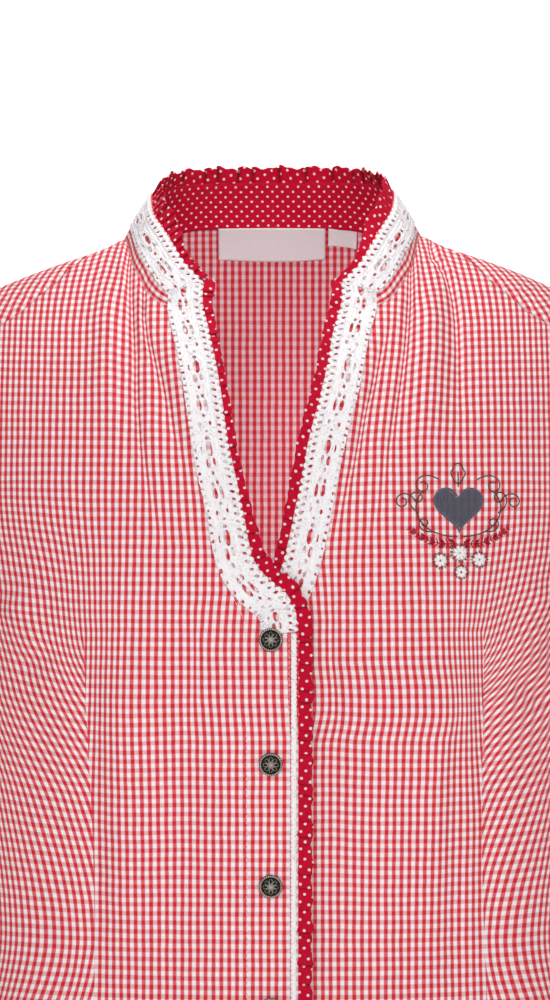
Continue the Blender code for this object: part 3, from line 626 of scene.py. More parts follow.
def store(obj, name, values):
    """Stores a value on each of a mesh's points."""
    layer = obj.data.attributes.new(name, "FLOAT", "POINT")
    layer.data.foreach_set("value", values.astype(np.float32).ravel())


FIRST, NEXT = slice(None, -1), slice(1, None)
CORNERS = ((FIRST, FIRST), (FIRST, NEXT), (NEXT, NEXT), (NEXT, FIRST))


def sheet_mesh(name, grid, uv, materials, outward, keep=None, ring=False, other=None):
    """A mesh from a grid of points. uv is a grid of (across, up) in millimetres, with one more
    column on a ring. keep is a mask of cells. other is (mask of cells, the uv grid that they
    take instead)."""
    rows, columns = grid.shape[:2]
    index = np.arange(rows * columns).reshape(rows, columns)
    if ring:
        index = np.hstack([index, index[:, :1]])
    quads = np.stack([index[c] for c in CORNERS], axis=-1)
    uvs = np.stack([uv[c] for c in CORNERS], axis=-2)
    if other is not None:
        mask, second_uv = other
        uvs[mask] = np.stack([second_uv[c] for c in CORNERS], axis=-2)[mask]
    if keep is not None:
        quads, uvs = quads[keep], uvs[keep]
    quads, uvs = quads.reshape(-1, 4), uvs.reshape(-1, 4, 2)
    points = grid.reshape(-1, 3)
    a, b, c = (points[quads[:, k]] for k in (0, 1, 3))
    if (np.cross(b - a, c - a) * outward.reshape(-1, 3)[quads[:, 0]]).sum() < 0:
        quads, uvs = quads[:, ::-1], uvs[:, ::-1]
    used, compact = np.unique(quads, return_inverse=True)
    obj = as_object(name, points[used], compact.reshape(-1, 4), *materials)
    layer = obj.data.uv_layers.new(name="cloth")
    layer.data.foreach_set("uv", (uvs * MM).astype(np.float32).ravel())
    return obj


def dressed(obj, slot, *nodes):
    """The piece rides on the blouse's one body and stands for its nodes. slot is not used."""
    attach(obj, "root")
    if nodes:
        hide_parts(*nodes)
    print(f"{obj.name}: {len(obj.data.polygons)} faces")
    return obj


def sewn(obj, thickness, slot, node):
    """A sheet given its thickness, grown inwards. The inner face of checked cloth takes the
    second finish."""
    wall = obj.modifiers.new("Wall", "SOLIDIFY")
    wall.thickness = thickness * MM
    wall.offset = -1.0
    # on checked cloth the inner face takes the copy of the check with painted shade
    wall.material_offset = len(obj.data.materials) - 1
    dressed(obj, slot, node)


CHECK = (CHECK_OUT, CHECK_PAINTED_SHADE)

# %% [markdown]
# ## The two fronts
#
# A front is bounded by the placket and V neck, the collar seam, the shoulder seam, the
# armhole, the side seam and the hem. Each row of the grid runs from its inner edge to the
# dart line, and from there to the side or armhole. The check runs straight down the
# front, so up to the dart the UV across is one function of x, the length round the bust.
# Past the dart it is measured back from the side seam, so the check leans into the dart and
# is taken up by it, as in real sewing.

# %% The panels' edges
edge = partial(table, "x z")
COLLAR_END = 4  # the last rows of a front's edge lie along the collar seam
INNER_EDGES = {
    -1: edge(
        (15, -590), (15, -232), (14, -220), (8, -206), (-4, -196), (-11, -186), (-18, -153),
        (-25, -122), (-32, -78), (-38.5, -48), (-41, -38.5), (-62, -37), (-76, -28), (-85, -12),
        (-91, 7.4),
    ),
    1: edge(
        (-13, -590), (-13, -236), (-9, -218), (0, -203), (6, -188), (14, -153), (20, -122),
        (31, -78), (37, -48), (40, -38.5), (61, -37), (75, -28), (85, -12), (91, 9.6),
    ),
}  # fmt: skip
FRONT_ARMHOLE = edge((190, -222), (183, -208), (175, -180), (172, -145), (178, -105), (189, -68))
BACK_ARMHOLE = edge((190, -222), (185, -206), (179, -175), (178, -135), (186, -85), (200, -36))
BACK_NECK = edge((0, 17), (33, 16.5), (62, 13.5), (80, 12), (91, 9.6))

# The shoulder seam's level, from the neck at share 0 to the armhole at 1.
SEAM = table(
    "share level",
    (0, 1), (0.14, 0.97), (0.24, 0.87), (0.31, 0.80), (0.4, 0.755), (0.57, 0.69), (1, 0.65),
)  # fmt: skip
SEAM_GROOVE, SEAM_HALF_WIDTH = 0.75, 0.007
SEAM_GAP = 0.3


def edge_curve(rows, on_back=False):
    xs = column(rows, "x")
    return level_of(xs, column(rows, "z"), on_back), xs


def front_edge(rows, at):
    """The angle of a front's inner edge, by level up the neck and then by even shares round the
    collar seam, and how far the true seam is above its even shares, as a level."""
    first = len(rows) - COLLAR_END
    levels, xs = edge_curve(rows[:first])
    seam_levels, seam_xs = edge_curve(rows[first - 1 :])
    even = np.linspace(seam_levels[0], 1.0, len(seam_levels))
    x = np.where(at < levels[-1], through(at, levels, xs), through(at, even, seam_xs))
    lift = np.where(at < even[0], 0.0, through(at, even, seam_levels - even))
    return angle_of(x, at), lift


def seam_top(share):
    return looked_up(SEAM, share, "share", "level")


def seam_groove(away):
    """The groove along the shoulder seam: a bell curve of the levels away from it."""
    return SEAM_GROOVE * bell(away / SEAM_HALF_WIDTH)


def armhole_angle(rows, at):
    levels, xs = edge_curve(rows)
    return angle_of(through(at, levels, xs), at)


def seam_angle(level):
    """The angle of a side seam, half its gap short of the side."""
    return 90 - np.degrees(SEAM_GAP / 2 / half_width_at(level))


# %% A front as rows and columns
LOW_ROWS, V_ROWS, COLLAR_ROWS = 104, 76, 26
CORNER = LOW_ROWS + V_ROWS
TO_DART, PAST_DART = 66, 62
DART_TIP_LEVEL, DART_LENGTH = -8.0, 270.0
DART_TIP_X = {-1: -108.0, 1: 121.0}
DART_HEM_X = {-1: -104.0, 1: 128.0}
LOW_LEVELS = np.linspace(HEM_Z - UNDERARM_Z, 0, LOW_ROWS, endpoint=False)


def front_grid(side):
    """Levels and angles of a front, and then its points. Rows are even in height below the
    underarm and in level above it."""
    rows = INNER_EDGES[side]
    corner = edge_curve(rows)[0][-COLLAR_END - 1]
    neck = np.linspace(0, corner, V_ROWS, endpoint=False)
    at = np.concatenate([LOW_LEVELS, neck, np.linspace(corner, 1, COLLAR_ROWS + 1)])[:, None]
    high = at >= 0
    inner, lift = front_edge(rows, at)
    armhole = armhole_angle(FRONT_ARMHOLE, at * seam_top(1.0))
    outer = side * np.where(at > 0, armhole, seam_angle(at))
    tip, hem = DART_TIP_X[side], DART_HEM_X[side]
    dart_x = tip + (hem - tip) * np.clip(-at / DART_LENGTH, 0, 1)
    middle = angle_of(dart_x, np.minimum(at, 1))
    first, second = np.linspace(0, 1, TO_DART + 1), np.linspace(0, 1, PAST_DART + 1)[1:]
    angles = np.hstack([inner + (middle - inner) * first, middle + (outer - middle) * second])
    shares = (angles - inner) / (outer - inner)
    top = seam_top(shares)
    levels = np.where(high, at * top + lift * ramp(shares, 0.5, 0), at + 0 * shares)
    fades = np.where(high, eased((top - levels) / 0.12), 1.0)
    points, normal = cloth(angles, levels, fades, True, side > 0)
    groove = seam_groove(levels - top) * high * ramp(shares, 0, 0.06)
    return points - normal * groove[..., None], normal, angles, levels, at[:, 0]


# %% The check's place on a front
# Past the dart the cloth is turned, so its threads lean. Lean is sideways over upwards.
LEANS = table(
    "z left right",
    (-420, 0, 0), (-340, 0.16, 0.15), (-300, 0.42, 0.30), (-278, 0.66, 0.36), (-262, 0.78, 0.34),
    (-245, 0.84, 0.36), (-228, 0.78, 0.34), (-212, 0.56, 0.20), (-198, 0.36, 0.24),
    (-180, 0.22, 0.28), (-160, 0.08, 0.16), (-140, 0, 0),
)  # fmt: skip
FAN, FAN_FROM_Z = 7.0, -48


def round_rows(base):
    """The length round the body along each row, from the row's first point."""
    steps = np.hypot(np.diff(base[..., 0], axis=1), np.diff(base[..., 1], axis=1))
    return summed(steps, 1)


def height_along(points, normal):
    """The distance up the cloth, summed along each column: only the part of each step that is
    square to the level direction counts."""
    flat = unit(np.stack([-normal[..., 1], normal[..., 0], 0 * normal[..., 0]], axis=-1))
    up = np.cross(normal, flat)
    up = up * np.sign(up[..., 2:])
    return summed((np.diff(points, axis=0) * (up[:-1] + up[1:]) / 2).sum(axis=-1))


def leaned(side, z):
    """How far the leaning threads have moved sideways at height z: the leans summed downwards, and
    the lean there."""
    heights = np.linspace(LEANS[0].z, LEANS[-1].z, 600)
    lean = looked_up(LEANS, heights, "z", "left" if side > 0 else "right")
    moved = np.cumsum(lean[::-1])[::-1] * (heights[1] - heights[0])
    return np.interp(z, heights, moved), np.interp(z, heights, lean)


def from_middle(outward):
    """The length round the bust from the middle to x, as a sum of short chords."""
    x = np.linspace(0, 182.0, 400)
    section = torso(angle_of(x, BUST_LEVEL + 0 * x), BUST_LEVEL)[None]
    return np.interp(np.abs(outward), x, round_rows(section)[0]) * np.sign(outward)


def front_uv(side, angles, levels, at, normal):
    """The check's place on a front before the dart, and past it. Pressed folds take cloth in,
    the fan lets it out near the shoulder, and past the dart the leans move the threads."""
    base = torso(angles, levels)
    z, outward = base[..., 2], base[..., 0] * side
    up = height_along(base, normal)
    taken = 0.0
    for fold in (fold for fold in PRESSED if fold.side == side):
        place, take = pressed_line(fold, z)
        taken = taken + take * 0.5 * (1 + np.tanh((place - outward) / fold.half_width))
    fan = FAN * np.clip((z - FAN_FROM_Z) / -FAN_FROM_Z, 0, 1.2) ** 1.6
    fan = fan * ramp(outward, 78, 92) * ramp(outward, 165, 120)
    across = (from_middle(outward) - taken + fan) * side
    run = round_rows(base)
    from_dart = run - run[:, [TO_DART]]
    width = from_dart[:, -1:]
    tip = int(np.argmin(np.abs(at - DART_TIP_LEVEL)))
    intake = np.where(at[:, None] < at[tip], np.maximum(width[tip] - width, 0), 0)
    past = across[:, [TO_DART]] + side * (from_dart + intake)
    past = np.where(at[:, None] > at[tip], across, past)
    beyond = outward - DART_TIP_X[side] * side
    moved, lean = leaned(side, z)
    spread, below_tip = ramp(beyond, -28, 28), z[tip, TO_DART] - z
    opened = ramp(below_tip, 0, 45)
    shown = spread + (1 - spread) * opened
    held = np.minimum(moved, moved[tip, TO_DART]) * ramp(below_tip, 120, 0)
    across = across + side * held * spread
    past = past + side * moved * shown * (1 - 0.12 * ramp(beyond, 8, 48))
    rise = np.maximum(beyond, 0) * lean * 0.5 * shown
    return np.stack([across, up - rise * (1 - opened)], -1), np.stack([past, up - rise], -1)


# %% Sew the two fronts
FRONTS = {}
for side, name in ((-1, "front_right"), (1, "front_left")):
    points, normal, angles, levels, at = front_grid(side)
    uv, past = front_uv(side, angles, levels, at, normal)
    past_dart = np.arange(points.shape[1] - 1) >= TO_DART
    past_dart = np.broadcast_to(past_dart, (len(points) - 1, points.shape[1] - 1))
    obj = sheet_mesh(name + "_cloth", points, uv, CHECK, normal, other=(past_dart, past))
    sewn(obj, CLOTH, "gingham_cotton", name)
    FRONTS[side] = (points, normal)

# %% [markdown]
# ## The back
#
# The back is one piece. Its neck edge is cut high, and at each side it runs over the
# shoulder to a seam on the front. Its grid goes up past the ridge, where the level passes
# 1 and comes down the front, so that the cloth turns over the shoulder without a seam.

# %% The back as rows and columns
NECK_COLUMNS, SHOULDER_COLUMNS, BACK_ROWS = 24, 52, 76
SHOULDER_SEAM_GAP = 0.0009
SHOULDER_TURN_LEFT, SHOULDER_TURN_RIGHT = 24.0, 16.0


def back_grid():
    """Levels and angles of the back's left half, mirrored to the whole, and its points."""
    neck_levels, neck_xs = edge_curve(BACK_NECK, True)
    along = np.linspace(0, 1, len(BACK_NECK))
    neck = np.linspace(0, 1, NECK_COLUMNS, endpoint=False)
    shoulder = np.linspace(0, 1, SHOULDER_COLUMNS + 1)
    inner = float(angle_of(BACK_NECK[-1].x, 1.0))
    outer = float(armhole_angle(FRONT_ARMHOLE, seam_top(1.0)))
    neck_angles = through(neck, along, angle_of(neck_xs, neck_levels))
    top_angle = np.concatenate([neck_angles, inner + (outer - inner) * shoulder])
    over_shoulder = 2 - seam_top(shoulder) - SHOULDER_SEAM_GAP
    top_level = np.concatenate([through(neck, along, neck_levels), over_shoulder])
    low, part = LOW_LEVELS[:, None], np.linspace(0, 1, BACK_ROWS + 1)[:, None]
    over = 2 - float(seam_top(1.0))
    back_levels, back_xs = edge_curve(BACK_ARMHOLE)
    edge_angles = np.append(angle_of(back_xs, back_levels), outer)
    armhole = through(part[1:] * over, np.append(back_levels, over), edge_angles)
    side_edge = np.vstack([seam_angle(np.vstack([low, [[0.0]]])), armhole])
    even = np.linspace(0, 1, len(top_angle))
    share = even + (top_angle / top_angle[-1] - even) * np.vstack([0 * low, part])
    angles = 180 - side_edge * share
    levels = np.vstack([low + 0 * even, part * top_level])
    angles = np.hstack([-angles[:, :0:-1], angles])
    levels = np.hstack([levels[:, :0:-1], levels])
    points, normal = cloth(angles, levels, ramp(levels, 1, 0.8), False)
    top = np.maximum(levels[-1], 1)
    groove = seam_groove(levels - top) * (levels > 1) * ramp(top, 1, 1.04)
    return points - normal * groove[..., None], normal, angles, levels


def back_check(angles, levels, normal):
    """The check's place on the back, and its place on the part in front of the ridge, where the
    threads lean outwards going down."""
    base = torso(angles, levels)
    run = round_rows(base)
    across = run - run[:, [run.shape[1] // 2]]
    passed = np.clip((levels[1:] - 1) / np.diff(levels, axis=0), 0, 1)
    down = summed(np.linalg.norm(np.diff(base, axis=0), axis=-1) * passed)
    x, side = np.abs(base[..., 0]), np.sign(base[..., 0])
    z = ridge_height(base[..., 0], True) - down
    turn = np.radians(np.where(side > 0, SHOULDER_TURN_LEFT, SHOULDER_TURN_RIGHT))
    c, d = np.cos(turn), np.sin(turn)
    over = np.stack([(x * c + z * d) * side, z * c - x * d], axis=-1)
    return np.stack([across, height_along(base, normal)], axis=-1), over


# %% Sew the back
back_points, back_normal, back_angles, back_levels = back_grid()
back_uv, over_uv = back_check(back_angles, back_levels, back_normal)
in_front = (back_levels[:-1] + back_levels[1:])[:, 1:] > 2
back = sheet_mesh("back_cloth", back_points, back_uv, CHECK, back_normal, other=(in_front, over_uv))
sewn(back, CLOTH, "gingham_cotton", "back")

# %% [markdown]
# ## The sleeves
#
# A set-in sleeve is a tube whose head follows the armhole. Each ring of its grid starts at
# the underarm, goes up the front, over the top and down the back. The first ring is the
# armhole itself, read from the fronts and the back, and the others are ellipses from a
# table. The photo ends before them, so they are plain and short.

# %% The sleeve's rings
SLEEVE = table(
    "under_x under_z top_x top_z half_depth middle_y",
    (191.7, -224.6, 213, -39, 58, 6),
    (193.0, -227, 231, -46, 60, 6),
    (196.5, -235, 256, -73, 63, 5),
    (201.5, -247, 272, -114, 62, 4),
    (208.5, -265, 284, -162, 59, 2),
    (215.5, -289, 295, -210, 56, 0),
    (224.0, -321, 310, -268, 54, -3),
    (234.0, -356, 326, -321, 53, -6),
)
SLEEVE_AROUND, SLEEVE_RINGS, LEAD_RINGS = 112, 70, 11
SLEEVE_ROUND = 331.2  # a whole number of the check's repeats


def read_at(s, at, values):
    """Vectors known at places s, read at other places."""
    return np.stack([np.interp(at, s, part) for part in values.T], axis=-1)


def run_along(points):
    """The length along a line to each of its points."""
    return summed(np.linalg.norm(np.diff(points, axis=0), axis=1))


def read_line(points, share):
    """Points of a line at given shares of its length."""
    run = run_along(points)
    return read_at(run / run[-1], share, points)


def sleeve_grid(side):
    """Ring k is an ellipse between its under and top points, and the first rings ease from the
    armhole to it."""
    end = -1 if side > 0 else 0
    both = zip(FRONTS[side], (back_points, back_normal))
    armhole = [np.vstack([f[LOW_ROWS:, -1], b[LOW_ROWS:, end][::-1]]) for f, b in both]
    share = np.linspace(0, 1, SLEEVE_AROUND + 1)[:-1]
    armhole = read_line(np.hstack(armhole), share)
    start, normal = armhole[:, :3], unit(armhole[:, 3:])
    turn = np.interp(share, (0, share[np.argmax(start[:, 2])], 1), (0, math.pi, TAU))
    at = np.linspace(0, len(SLEEVE) - 1, SLEEVE_RINGS)
    index = np.arange(len(SLEEVE))
    under_x, under_z, top_x, top_z, half_depth, middle_y = (
        through(at, index, values)[:, None] for values in np.array(SLEEVE, float).T
    )
    x = (under_x + top_x) / 2 - (top_x - under_x) / 2 * np.cos(turn)
    z = (under_z + top_z) / 2 - (top_z - under_z) / 2 * np.cos(turn)
    rings = np.stack([side * x, middle_y - half_depth * np.sin(turn), z], axis=-1)
    start = start + unit(unit(rings[0] - start) + normal) * SEAM_GAP * 1.6
    lead = start + (rings[0] - start) * np.linspace(0, 1, LEAD_RINGS + 1)[:-1, None, None]
    grid = np.vstack([lead, rings])
    around = np.roll(grid, -1, axis=1) - np.roll(grid, 1, axis=1)
    out = unit(np.cross(np.gradient(grid, axis=0), around))
    if (out * (grid - grid.mean(axis=1, keepdims=True))).sum() < 0:
        out = -out
    return grid, out


# %% Sew the sleeves
for side, name in ((-1, "sleeve_right"), (1, "sleeve_left")):
    grid, out = sleeve_grid(side)
    run = summed(np.linalg.norm(np.diff(grid, axis=0), axis=-1))
    run = run[-1] - run
    run = np.hstack([run, run[:, :1]])
    round_it = np.linspace(0, SLEEVE_ROUND, SLEEVE_AROUND + 1) + 0 * run
    uv = np.stack([round_it, run], axis=-1)
    obj = sheet_mesh(name + "_cloth", grid, uv, CHECK, out, ring=True)
    on = (name.replace("sleeve", "front"), "back")
    sewn(obj, CLOTH, "gingham_cotton", name)

# %% [markdown]
# ## The collar
#
# The stand collar is two layers: checked cotton outside, with its stripes running along
# the collar, and dotted cotton inside. It stands up from the panels' own neck edges to a top
# line given by a table, and it bows out a little between them. Both layers are read from the
# same surface, the facing from just inside it.

# %% The collar's surface
COLLAR_TOP = table(
    "share x y z",
    (0.00, 0, 57, 45.5),
    (0.16, 36, 52, 44.5),
    (0.33, 64, 33, 41),
    (0.48, 74, 8, 34),
    (0.62, 72.5, -14, 23.5),
    (0.77, 62.5, -34, 6.5),
    (0.90, 51, -46, -12),
    (1.00, 41, -47, -22),
)
COLLAR_LINING = 1.0
COLLAR_AROUND, COLLAR_UP = 241, 24
COLLAR_HEIGHT = 34
LEFT_TOP_LIFT = 2.0


def collar_grid():
    """Rows from the seam to the top. Between a seam point and its top point the cloth is a shallow
    arc, with a slight wave along it that is greatest half-way up."""
    middle = back_points.shape[1] // 2
    neck = back_points[-1, middle - NECK_COLUMNS : middle + NECK_COLUMNS + 1]
    right, left = (FRONTS[side][0][CORNER:-1, 0] for side in (-1, 1))
    share = np.linspace(0, 1, COLLAR_AROUND)
    base = read_line(np.vstack([right, neck, left[::-1]]), share)
    away = np.abs(share - 0.5) * 2
    top = np.stack([looked_up(COLLAR_TOP, away, "share", axis) for axis in "xyz"], axis=-1)
    top[:, 0] *= np.where(share < 0.5, -1, 1)
    top[:, 2] += LEFT_TOP_LIFT * ramp(share, 0.5, 0.7) * ramp(share, 1, 0.8)
    base = base + unit(top - base) * 0.1
    out = unit(np.stack([base[:, 0], base[:, 1] - 5, 0 * share], axis=-1))
    t = np.linspace(0, 1, COLLAR_UP)[:, None, None]
    bow = 1.2 + 0.5 * np.sin(share * 23) * np.sin(share * 9 + 1)
    grid = base * (1 - t) + top * t + out * bow[:, None] * 4 * t * (1 - t)
    normal = unit(np.cross(np.gradient(grid, axis=1), np.gradient(grid, axis=0)))
    return grid, normal * np.sign((normal * out).sum(axis=-1, keepdims=True))


# %% Sew the collar
collar, collar_out = collar_grid()
collar_run = run_along(collar[COLLAR_UP // 3])
collar_rise = np.linspace(0, COLLAR_HEIGHT, COLLAR_UP)[:, None] + 0 * collar_run
collar_run = collar_run + 0 * collar_rise
uv = np.stack([collar_rise, collar_run], axis=-1)
stand = sheet_mesh("collar_stand_cloth", collar, uv, CHECK, collar_out)
sewn(stand, CLOTH, "gingham_cotton", "collar_stand")

inside = collar - collar_out * (CLOTH + SEAM_GAP + COLLAR_LINING)
inside[0] += unit(inside[0] - inside[1]) * 0.4
inside[-1] += unit(inside[-1] - inside[-2]) * 0.7
uv = np.stack([collar_run, collar_rise + 3.1], axis=-1)
facing = sheet_mesh("collar_facing_cloth", inside, uv, (DOTTED,), -collar_out)
sewn(
    facing, COLLAR_LINING, "dotted_cotton", "collar_facing",
)  # fmt: skip

# %% [markdown]
# ## Gathered ruffles
#
# A ruffle is a folded strip of dotted cotton, wider than the edge it is sewn to, so it is
# laid in small tucks. A regular wave looks like piping, so the tucks are uneven: listed
# along the collar and spread by sines along the fronts. At each tuck's fold the height
# jumps up and eases down to the next one, and it is higher towards the free edge.
# The seam holds it flat at the root.

# %% Ruffle surface
RUFFLE_CLOTH = 0.8
RUFFLE_ROWS = 11
GRAIN_TURN = 0.35  # radians: the strip is cut a little across its grain


def across_line(line, normal, towards):
    """For each point of a line on a surface, the direction across it that points towards."""
    across = unit(np.cross(normal, unit(np.gradient(line, axis=0))))
    return across * np.sign((across * towards).sum(axis=1, keepdims=True))


def smoothed(values, times):
    """Each value becomes a mean of itself and its neighbours, a number of times."""
    for _ in range(times):
        padded = np.concatenate([values[:1], values, values[-1:]])
        values = (padded[:-2] + 2 * padded[1:-1] + padded[2:]) / 4
    return values


def resampled(line, vectors, step):
    """A line and the vectors on it, read at even steps."""
    run = run_along(line)
    at = np.linspace(0, 1, int(run[-1] / step) + 1)
    return at * run[-1], [read_at(run / run[-1], at, v) for v in (line, *vectors)]


def tucked(s, tucks, lift):
    """A sawtooth of tucks, each (place, size). At its place the height jumps up out of a groove,
    and the cloth just past it is pulled back over what lies before it. Both fade over the run to
    the next tuck. The third result is how deep in a groove each place is, from 0 to 1."""
    places, sizes = np.array(tucks, float).T
    i = np.clip(np.searchsorted(places, s, side="right") - 1, 0, len(places) - 1)
    before = s < places[i]
    past = np.where(before, 99.0, s - places[i])
    after = np.append(places, places[-1] + 20)[i + 1]
    height = lift * sizes[i] * np.exp(-past / 5.5) * (1 - eased(past / (after - places[i])))
    back = (0.5 + 0.4 * sizes[i]) * np.exp(-past / 1.2) * np.minimum(lift, 1.0)
    away = np.abs(s[:, None] - places + 0.35)
    nearest = sizes[np.argmin(away, axis=1)]
    groove = bell(away.min(axis=1) / 0.6) * np.clip(nearest, 0, 1)
    return height - 0.7 * groove, s - back, groove


def tuck_places(length, spacing, seed):
    """Uneven places and sizes for tucks along an edge, from sines of their number."""
    k = np.arange(int(length / spacing) + 1)
    places = (k + 0.32 * np.sin(k * 2.4 + seed) + 0.18 * np.sin(k * 5.1 + seed)) * spacing + 3
    return np.stack([places, 0.75 + 0.35 * np.sin(k * 3.7 + seed * 2)], axis=-1)


def ruffle(name, root, out, on, s, tucks, lift, width_at, sink):
    """Rows run from the seam to the free edge and columns along it. A row is the edge moved on by
    its share of the width, and out by the tucks' height times that share."""
    height, pulled, groove = tucked(s, tucks, lift)
    notch = 0.16 * smoothed(groove, 12) * width_at
    wavy = 0.94 + 0.06 * np.sin(s * 0.31) + 0.04 * np.sin(s * 0.83 + 1)
    width = width_at * wavy + 0.3 * height - notch
    part = np.linspace(0, 1, RUFFLE_ROWS)[:, None]
    at = s + (pulled - s) * (0.25 + 0.75 * part)
    settle = 0.5 * np.sin(s * 0.23 + 1) * part**2
    raised = height * (0.15 + 0.85 * part**0.7) + settle - sink
    edge, face, away = (np.stack([read_at(s, row, v) for row in at]) for v in (root, out, on))
    grid = edge + away * (part * (width + 0.8) - 0.8)[..., None] + face * raised[..., None]
    u, v = s + 0 * part, width * part + 0.4
    c, d = math.cos(GRAIN_TURN), math.sin(GRAIN_TURN)
    uv = np.stack([u * c - v * d, u * d + v * c], axis=-1)
    obj = sheet_mesh(name + "_cloth", grid, uv, (DOTTED,), np.broadcast_to(out, grid.shape))
    # the groove's depth is stored to paint shade into the cloth along each tuck
    store(obj, "painted_crease_shade", groove * (0.35 + 0.6 * part) * (0.85 + 0.15 * np.sin(s * 0.9)))
    sewn(obj, RUFFLE_CLOTH, "dotted_cotton", name)


# %% The edge that the ruffles are sewn to
LEFT_END = LOW_ROWS - 10
(right, right_out), (left, left_out) = FRONTS[-1], FRONTS[1]


def whole_edge(right, collar, left):
    """Up the right front's edge, round the collar's top and down the left front's edge."""
    up, down = collar[1:-1:4, 0], collar[1:-1:4, -1][::-1]
    return np.vstack([right[:CORNER, 0], up, collar[-1], down, left[LEFT_END:CORNER, 0][::-1]])


path, outs = whole_edge(right, collar, left), whole_edge(right_out, collar_out, left_out)
run, (root, out) = resampled(path, (outs,), 0.4)
out = unit(smoothed(out, 20))
on = unit(smoothed(np.cross(unit(np.gradient(smoothed(root, 8), axis=0)), out), 90))
on = on * np.sign(on[len(on) // 2, 2])
split_right, split_left = (
    int(np.argmin(np.linalg.norm(root - collar[-1, end], axis=1))) for end in (0, -1)
)
start, end = run[split_right], run[split_left]
print("ruffled edge:", round(run[-1]), "mm")

# %% Sew the ruffles
# The ruffle's visible width along the front edges, by height.
VISIBLE = table(
    "z right left",
    (-600, 8.6, 6), (-190, 8.6, 6), (-172, 7.0, 6), (-150, 5.0, 6.4), (-95, 4.6, 6.6),
    (-60, 4.4, 6.4), (-40, 5.8, 6.4), (-20, 7.6, 7.2), (-8, 5.0, 5.0), (60, 5.0, 5.0),
)  # fmt: skip
COLLAR_RUFFLE_ENDS, COLLAR_RUFFLE_MIDDLE = 5.0, 10.8
END_SINK = 0.2
TUCK_SPACING = 11.0
TOP_TUCKS = (
    (4, 0.8), (10, 1.0), (15, 0.7), (22, 1.1), (28, 0.8), (34, 1.1), (41, 0.7), (47, 1.0),
    (53, 0.7), (61, 1.0), (69, 0.6), (77, 0.8), (84, 0.5), (93, 1.1), (104, 0.8), (120, 1.2),
    (131, 1.0), (149, 0.9), (158, 1.3), (171, 1.0), (180, 0.8), (197, 1.2), (214, 0.7),
    (231, 1.1), (246, 0.6), (254, 0.9), (262, 0.7), (271, 1.0), (278, 0.7), (285, 1.1),
    (291, 0.8), (297, 1.1), (304, 0.8), (310, 1.1), (316, 0.7), (322, 1.0), (328, 0.8), (334, 0.9),
)  # fmt: skip
for name, first, last, lift, sink, shown in (
    ("ruffle_right", 0, split_right + 3, 1.35, 0.2, "right"),
    ("ruffle_collar", split_right - 3, split_left + 3, 2.3, 0.9, None),
    ("ruffle_left", split_left - 3, None, 1.35, 0.2, "left"),
):
    part = slice(first, last)
    s = run[part]
    span = ramp(s, start + 20, start + 52) * ramp(s, end - 20, end - 52)
    if shown:
        width_at = looked_up(VISIBLE, root[part][:, 2], "z", shown)
        tucks = tuck_places(s[-1] - s[0], TUCK_SPACING, 1.0 + first % 7)
    else:
        width_at = COLLAR_RUFFLE_ENDS + (COLLAR_RUFFLE_MIDDLE - COLLAR_RUFFLE_ENDS) * span
        tucks = TOP_TUCKS
    sink = END_SINK + (sink - END_SINK) * span
    tucks = np.array(tucks) + (s[0], 0)
    ruffle(name, root[part], out[part], on[part], s, tucks, lift, width_at, sink)

# %% [markdown]
# ## Bobbin lace
#
# The lace is one flat band, a little raised where its thicker outlining thread runs. Making
# it from thousands of real threads would cost far too many faces. Instead the band is a
# fine grid, laid on the cloth, and one function of place says where there is lace: scallops
# and small holes along its inner edge, and a chain of oval medallions with slots down its
# middle. Cells outside it are left out, and the points beside a hole are moved on to
# its outline, so that each hole has a smooth edge. A second function raises the threads.

# %% The lace's pattern
LACE_WIDTH, LACE_THICKNESS, LACE_CELL = 22.0, 0.55, 0.55
REPEAT, SCALLOP = 27.0, 4.6
PICOT, CROSSING = 2.3, 1.5
OVAL = "s w half_s half_w"
HOLES = table(
    OVAL,
    (9.0, 10.0, 3.9, 0.95), (8.4, 13.7, 3.6, 1.30), (2.2, 11.0, 1.5, 0.85), (2.8, 14.0, 1.5, 0.80),
    (15.2, 12.0, 1.1, 0.90), (20.2, 9.0, 1.5, 0.72), (20.7, 15.1, 1.6, 0.80),
    (25.0, 11.6, 0.9, 0.70), (36.0, 11.6, 4.6, 1.75), (29.2, 12.0, 1.25, 1.20),
    (43.6, 10.1, 2.3, 0.85), (44.4, 13.8, 3.0, 1.20), (50.0, 12.4, 1.4, 0.80),
    (36.0, 16.2, 2.6, 0.48),
)  # fmt: skip
OUTLINES = table(OVAL, (9.0, 12.0, 7.6, 3.6), (9.0, 12.0, 5.0, 2.3), (22.5, 12.0, 3.6, 3.0))
INNER_ROW_W, OUTER_ROW_W, LOOP_W = 4.0, 20.0, 3.6
CORD_LINES = (5.4, 7.6, 18.4, 21.2)


def oval_gap(s, w, oval):
    """About the distance outside an ellipse, negative in it."""
    away = np.sqrt(((s - oval.s) / oval.half_s) ** 2 + ((w - oval.w) / oval.half_w) ** 2)
    return (away - 1) * min(oval.half_s, oval.half_w)


def lace_there(s, w):
    """Positive where there is thread: the least of the distances from the edges and the holes."""
    scallop = w - 2.3 * (1 - np.abs(np.sin(math.pi * s / SCALLOP)) ** 0.8)
    rough = 0.35 * np.sin(s * 1.9) * np.sin(s * 0.83 + 1) + 0.25 * np.sin(s * 4.4)
    picots = LACE_WIDTH - 0.5 - 0.45 * np.abs(np.sin(math.pi * s / PICOT)) + rough - w
    ds = (s % SCALLOP) - SCALLOP / 2
    size = 0.98 + 0.16 * np.sin(np.floor(s / SCALLOP) * 2.2)
    inner = w - INNER_ROW_W
    slanted = np.hypot((ds + 0.4 * inner) / 0.8, inner / 1.45) - size
    outer = np.hypot(ds / 1.3 + 0.5, w - OUTER_ROW_W) - size * 0.72
    holes = [oval_gap(s % (2 * REPEAT), w, hole) for hole in HOLES]
    return np.minimum.reduce([scallop, picots, slanted, outer, *holes])


